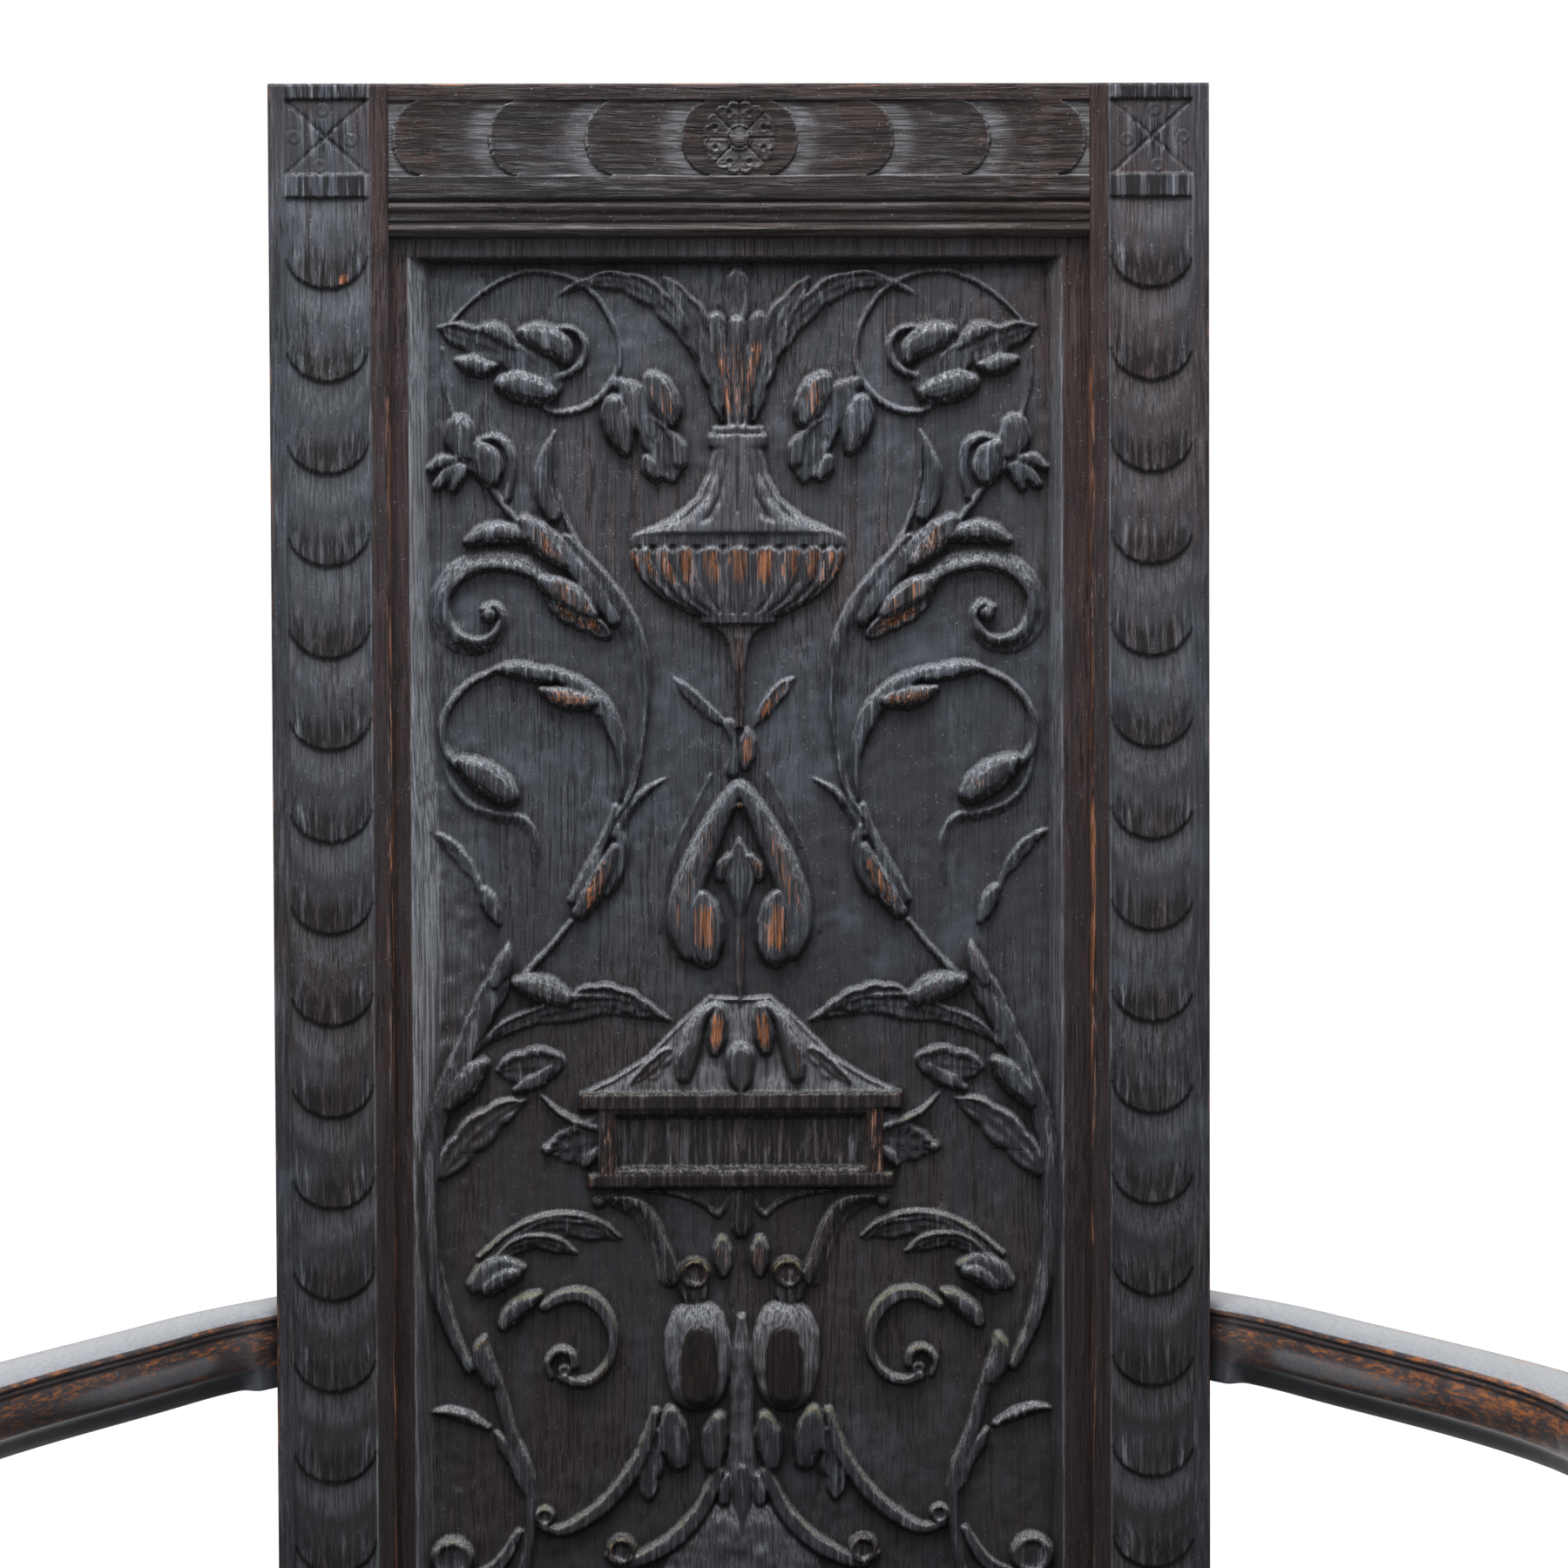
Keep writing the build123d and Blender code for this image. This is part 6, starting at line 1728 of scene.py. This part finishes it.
# Turned lengths of a front post, (height, radius) from the foot to the arm
TURNING = (
    (0, 19), (2, 21), (10, 24.2), (22, 25), (36, 23), (48, 18), (54, 15.5), (57, 15.5), (58, 18.5),
    (62, 19.5), (66, 18.5), (132, 22), (135, 23.5), (139, 23.5), (141, 19), (143, 17), (150, 15),
    (153, 15), (154, 17.5), (158, 18.5), (162, 17), (164, 15), (176, 20), (190, 23.6), (205, 24),
    (225, 22), (250, 18), (275, 15), (300, 14), (312, 14.6), (314, 17.5), (318, 18.6), (322, 17.5),
    (324, 15.5), (331, 17), (334, 23), (339, 23.5), (342, 22), (454, 21), (457, 22.5), (461, 22.5),
    (463, 18), (466, 15.5), (472, 13.5), (475, 13.5), (476, 16), (480, 17), (484, 16), (486, 13.5),
    (500, 18.5), (515, 22.4), (530, 23), (550, 21), (580, 17), (610, 13.8), (640, 12.5), (652, 13),
    (654, 16), (658, 17), (662, 16), (664, 14), (670, 16), (673, 22), (679, 22.8), (683, 22),
)


@dataclass
class TurnedPost:
    """A front post: turned foot, squared blocks, and balusters under the seat and the arm."""

    side: int
    centre_x: float = 298.0
    centre_y: float = -209.8
    block: float = 52.0
    top: float = 683.0
    blocks: tuple[Point, ...] = ((66.0, 132.0), (342.0, 454.0))
    around: int = 96

    def build(self, finish: OakFinish) -> None:
        """Makes the post as rings whose radius is the turned one, or the square's in a block.

        Args:
            finish: oak of the post.
        """
        table = np.array(TURNING, dtype=float)
        z = np.concatenate([np.arange(0.0, self.top, 1.6), table[:, 0]])
        for low, high in self.blocks:
            z = np.concatenate([z, [low, low + 0.01, low + 1.2, high - 1.2, high - 0.01, high]])
        z = np.unique(np.round(z, 3))
        turn = np.linspace(0, 2 * np.pi, self.around, endpoint=False) + np.pi / self.around
        turned = np.interp(z, table[:, 0], table[:, 1])[:, None]
        half = self.block / 2 * np.ones_like(z)
        squared = np.zeros_like(z, dtype=bool)
        for low, high in self.blocks:
            inside = (z > low) & (z < high)
            squared |= inside
            edge = np.minimum(np.abs(z - low), np.abs(high - z))
            half = np.where(inside, self.block / 2 - np.clip(1.2 - edge, 0, 1.2), half)
        reach = half[:, None] / np.maximum(np.abs(np.cos(turn)), np.abs(np.sin(turn)))[None, :]
        corner = half[:, None] * math.sqrt(2) - 1.0
        radius = np.where(squared[:, None], np.minimum(reach, corner), turned)
        x = self.centre_x * self.side + radius * np.cos(turn)
        y = self.centre_y + radius * np.sin(turn)
        rings = np.stack([x, y, np.broadcast_to(z[:, None], x.shape)], -1) * MM
        name = "left_front_post" if self.side < 0 else "right_front_post"
        piece = tube_object(f"{name}_turned", rings, 32.0)
        worn = np.where(squared[:, None], 0.8 * (radius > corner - 1.5), 0.35 * (radius > 22.5))
        set_values(piece, {"wear": worn})
        dress(piece, finish, name)


@dataclass
class PlainJoinery:
    """The straight rails, stretchers, boards and pegs, kept as the frame gives them."""

    nodes: dict[str, bpy.types.Object]
    rails_across: tuple[str, ...] = (
        "front_seat_rail", "rear_seat_rail", "front_stretcher", "rear_stretcher", "back_bottom_rail"
    )
    rails_deep: tuple[str, ...] = ("left_seat_rail", "right_seat_rail", "left_stretcher", "right_stretcher")
    boards: tuple[str, ...] = ("seat_front_board", "seat_rear_board")
    pegs: tuple[str, ...] = (
        "back_frame_pegs", "arm_pegs", "seat_rail_pegs", "stretcher_pegs", "seat_pegs"
    )
    edge: float = 1.2  # softened edges, millimetres

    def build(self, across: OakFinish, deep: OakFinish, board: OakFinish, peg: OakFinish) -> None:
        """Softens the edges and gives each piece its oak.

        Args:
            across: oak of the pieces that run across the chair.
            deep: oak of those that run from front to back.
            board: oak of the seat.
            peg: oak of the pegs.
        """
        groups = (self.rails_across, self.rails_deep, self.boards, self.pegs)
        for names, finish in zip(groups, (across, deep, board, peg)):
            for name in names:
                node = self.nodes[name]
                weld = node.modifiers.new("weld", "WELD")
                weld.merge_threshold = 0.00001
                if names is not self.pegs:
                    bevel = node.modifiers.new("soft_edges", "BEVEL")
                    bevel.width = self.edge * MM
                    bevel.segments = 2
                    bevel.limit_method = "ANGLE"
                    bevel.angle_limit = math.radians(40)
                node.data.materials.clear()
                node.data.materials.append(finish.material())
                LOG.info("%s: kept, %s", name, finish.name)


# ------------------------ studio
@dataclass(frozen=True)
class Studio:
    """Pale floor, soft lamps and the camera."""

    eye: tuple[float, float, float] = (-15.07, -1494.6, 1049.89)  # millimetres
    yaw: float = 1.1164  # degrees to the right of straight ahead
    pitch: float = 3.6486  # degrees down
    roll: float = -0.1913
    lens: float = 90.96  # on a 36 mm sensor
    aim: tuple[float, float, float] = (0.0, 0.2, 0.85)  # what the lamps face, metres
    floor: float = 12.0  # size of the floor, metres
    floor_grey: float = 0.86
    sky: float = 0.22  # light from all round
    glow: float = 0.80  # added to the floor where it is seen, so that it reads as white

    def camera(self) -> None:
        """Places the camera from its eye point and angles."""
        yaw, pitch, roll = (math.radians(a) for a in (self.yaw, self.pitch, self.roll))
        ahead = np.array([math.sin(yaw) * math.cos(pitch), math.cos(yaw) * math.cos(pitch), -math.sin(pitch)])
        right = np.array([math.cos(yaw), -math.sin(yaw), 0.0])
        up = np.cross(right, ahead)
        right, up = math.cos(roll) * right + math.sin(roll) * up, math.cos(roll) * up - math.sin(roll) * right
        data = bpy.data.cameras.new("camera")
        data.sensor_width = 36.0
        data.lens = self.lens
        data.clip_start = 0.05
        body = bpy.data.objects.new("camera", data)
        rows = np.eye(4)
        rows[:3, 0], rows[:3, 1], rows[:3, 2] = right, up, -ahead
        rows[:3, 3] = np.array(self.eye) * MM
        body.matrix_world = Matrix(rows.tolist())
        bpy.context.scene.collection.objects.link(body)
        bpy.context.scene.camera = body

    def lamp(self, name: str, place: Sequence[float], size: float, power: float) -> None:
        """Adds a soft square lamp.

        Args:
            name: name of the lamp.
            place: where it hangs, metres.
            size: length of its side.
            power: watts.
        """
        data = bpy.data.lights.new(name, "AREA")
        data.shape = "SQUARE"
        data.size = size
        data.energy = power
        body = bpy.data.objects.new(name, data)
        ahead = np.array(self.aim) - np.array(place)
        ahead /= np.linalg.norm(ahead)
        side = np.cross(ahead, (0, 0, 1.0))
        side /= np.linalg.norm(side)
        rows = np.eye(4)
        rows[:3, 0], rows[:3, 1], rows[:3, 2], rows[:3, 3] = side, np.cross(side, ahead), -ahead, place
        body.matrix_world = Matrix(rows.tolist())
        bpy.context.scene.collection.objects.link(body)

    def seen(self, graph: NodeGraph) -> Signal:
        """Where white is seen.

        Args:
            graph: the node tree that asks.

        Returns:
            1 for rays from the camera and for those that polish and glass send on, else 0.
        """
        camera, polish, glass = (
            graph.node("ShaderNodeLightPath", output=name)
            for name in ("Is Camera Ray", "Is Glossy Ray", "Is Transmission Ray")
        )
        return (camera + polish + glass).clamp()

    def world(self) -> None:
        """White to the camera and in reflections, a moderate grey light on the object."""
        world = bpy.data.worlds.new("studio")
        bpy.context.scene.world = world
        world.use_nodes = True
        graph = NodeGraph(world.node_tree)
        seen = self.seen(graph)
        grey = {"Color": (0.93, 0.96, 1.0, 1.0), "Strength": self.sky}
        light = graph.node("ShaderNodeBackground", {}, grey)
        white = graph.node("ShaderNodeBackground", {}, {"Color": (1.0, 1.0, 1.0, 1.0), "Strength": 1.0})
        mixed = graph.node("ShaderNodeMixShader", {}, {0: seen, 1: light, 2: white})
        graph.node("ShaderNodeOutputWorld", {}, {"Surface": mixed})

    def ground(self) -> None:
        """Lays the pale floor."""
        half = self.floor / 2
        points = np.array([(-half, -half, 0), (half, -half, 0), (half, half, 0), (-half, half, 0)], dtype=float)
        floor = mesh_object("floor", points, [np.array([[0, 1, 2, 3]])])
        material = bpy.data.materials.new("pale_floor")
        material.use_nodes = True
        graph = NodeGraph(material.node_tree)
        paint = {"Base Color": (self.floor_grey,) * 3 + (1.0,), "Roughness": 0.8}
        glow = {"Color": (1.0, 1.0, 1.0, 1.0), "Strength": self.glow * self.seen(graph)}
        matt = graph.node("ShaderNodeBsdfPrincipled", {}, paint)
        white = graph.node("ShaderNodeEmission", {}, glow)
        both = graph.node("ShaderNodeAddShader", {}, {0: matt, 1: white})
        graph.node("ShaderNodeOutputMaterial", {}, {"Surface": both})
        floor.data.materials.append(material)

    def build(self) -> None:
        """Sets up the whole studio."""
        bpy.context.scene.view_settings.view_transform = "Standard"
        self.camera()
        self.world()
        self.ground()
        self.lamp("overhead", (-0.10, -0.42, 2.45), 0.9, 42.0)
        self.lamp("front", (-1.0, -2.4, 2.6), 1.6, 12.0)


def main() -> None:
    """Builds the chair in the order in which it is joined."""
    logging.basicConfig(level=logging.INFO, format="%(name)s %(message)s")
    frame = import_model()
    Studio().build()
    plane = BackPlane.from_frame()
    carved = OakFinish("oak_carved", Grain.UP, carved=True, fade=0.60, brown_share=0.72)
    darker = {"cool": srgb(60, 60, 66), "brown": srgb(62, 49, 47), "brown_share": 0.9}
    rail = OakFinish("oak_rail", Grain.ACROSS, carved=True, **darker)
    handled = {"warm": srgb(196, 120, 62), "shine": 0.42, "roughness": 0.36, "relief_depth": 0.3}
    handled |= {"open_grain": 0.12, "rub_edge": (0.45, 1.20)}
    arm = OakFinish("oak_arm", Grain.DEEP, slot="worn_oak", carved=True, **handled)
    post = OakFinish("oak_post", Grain.UP, slot="turned_oak", carved=True)
    CarvedBack(plane).build(carved)
    for side in (-1, 1):
        ScaledPost(plane, side).build(carved)
    CoinRail(plane).build(rail)
    for side in (-1, 1):
        BowedArm(plane, side).build(arm)
        TurnedPost(side).build(post)
    PlainJoinery(frame["nodes"]).build(
        OakFinish("oak_frame_across", Grain.ACROSS, slot="frame_oak"),
        OakFinish("oak_frame_deep", Grain.DEEP, slot="frame_oak"),
        OakFinish("oak_seat", Grain.ACROSS, slot="seat_oak"),
        OakFinish("oak_peg", Grain.UP, slot="peg_oak"),
    )


if __name__ == "__main__":
    main()
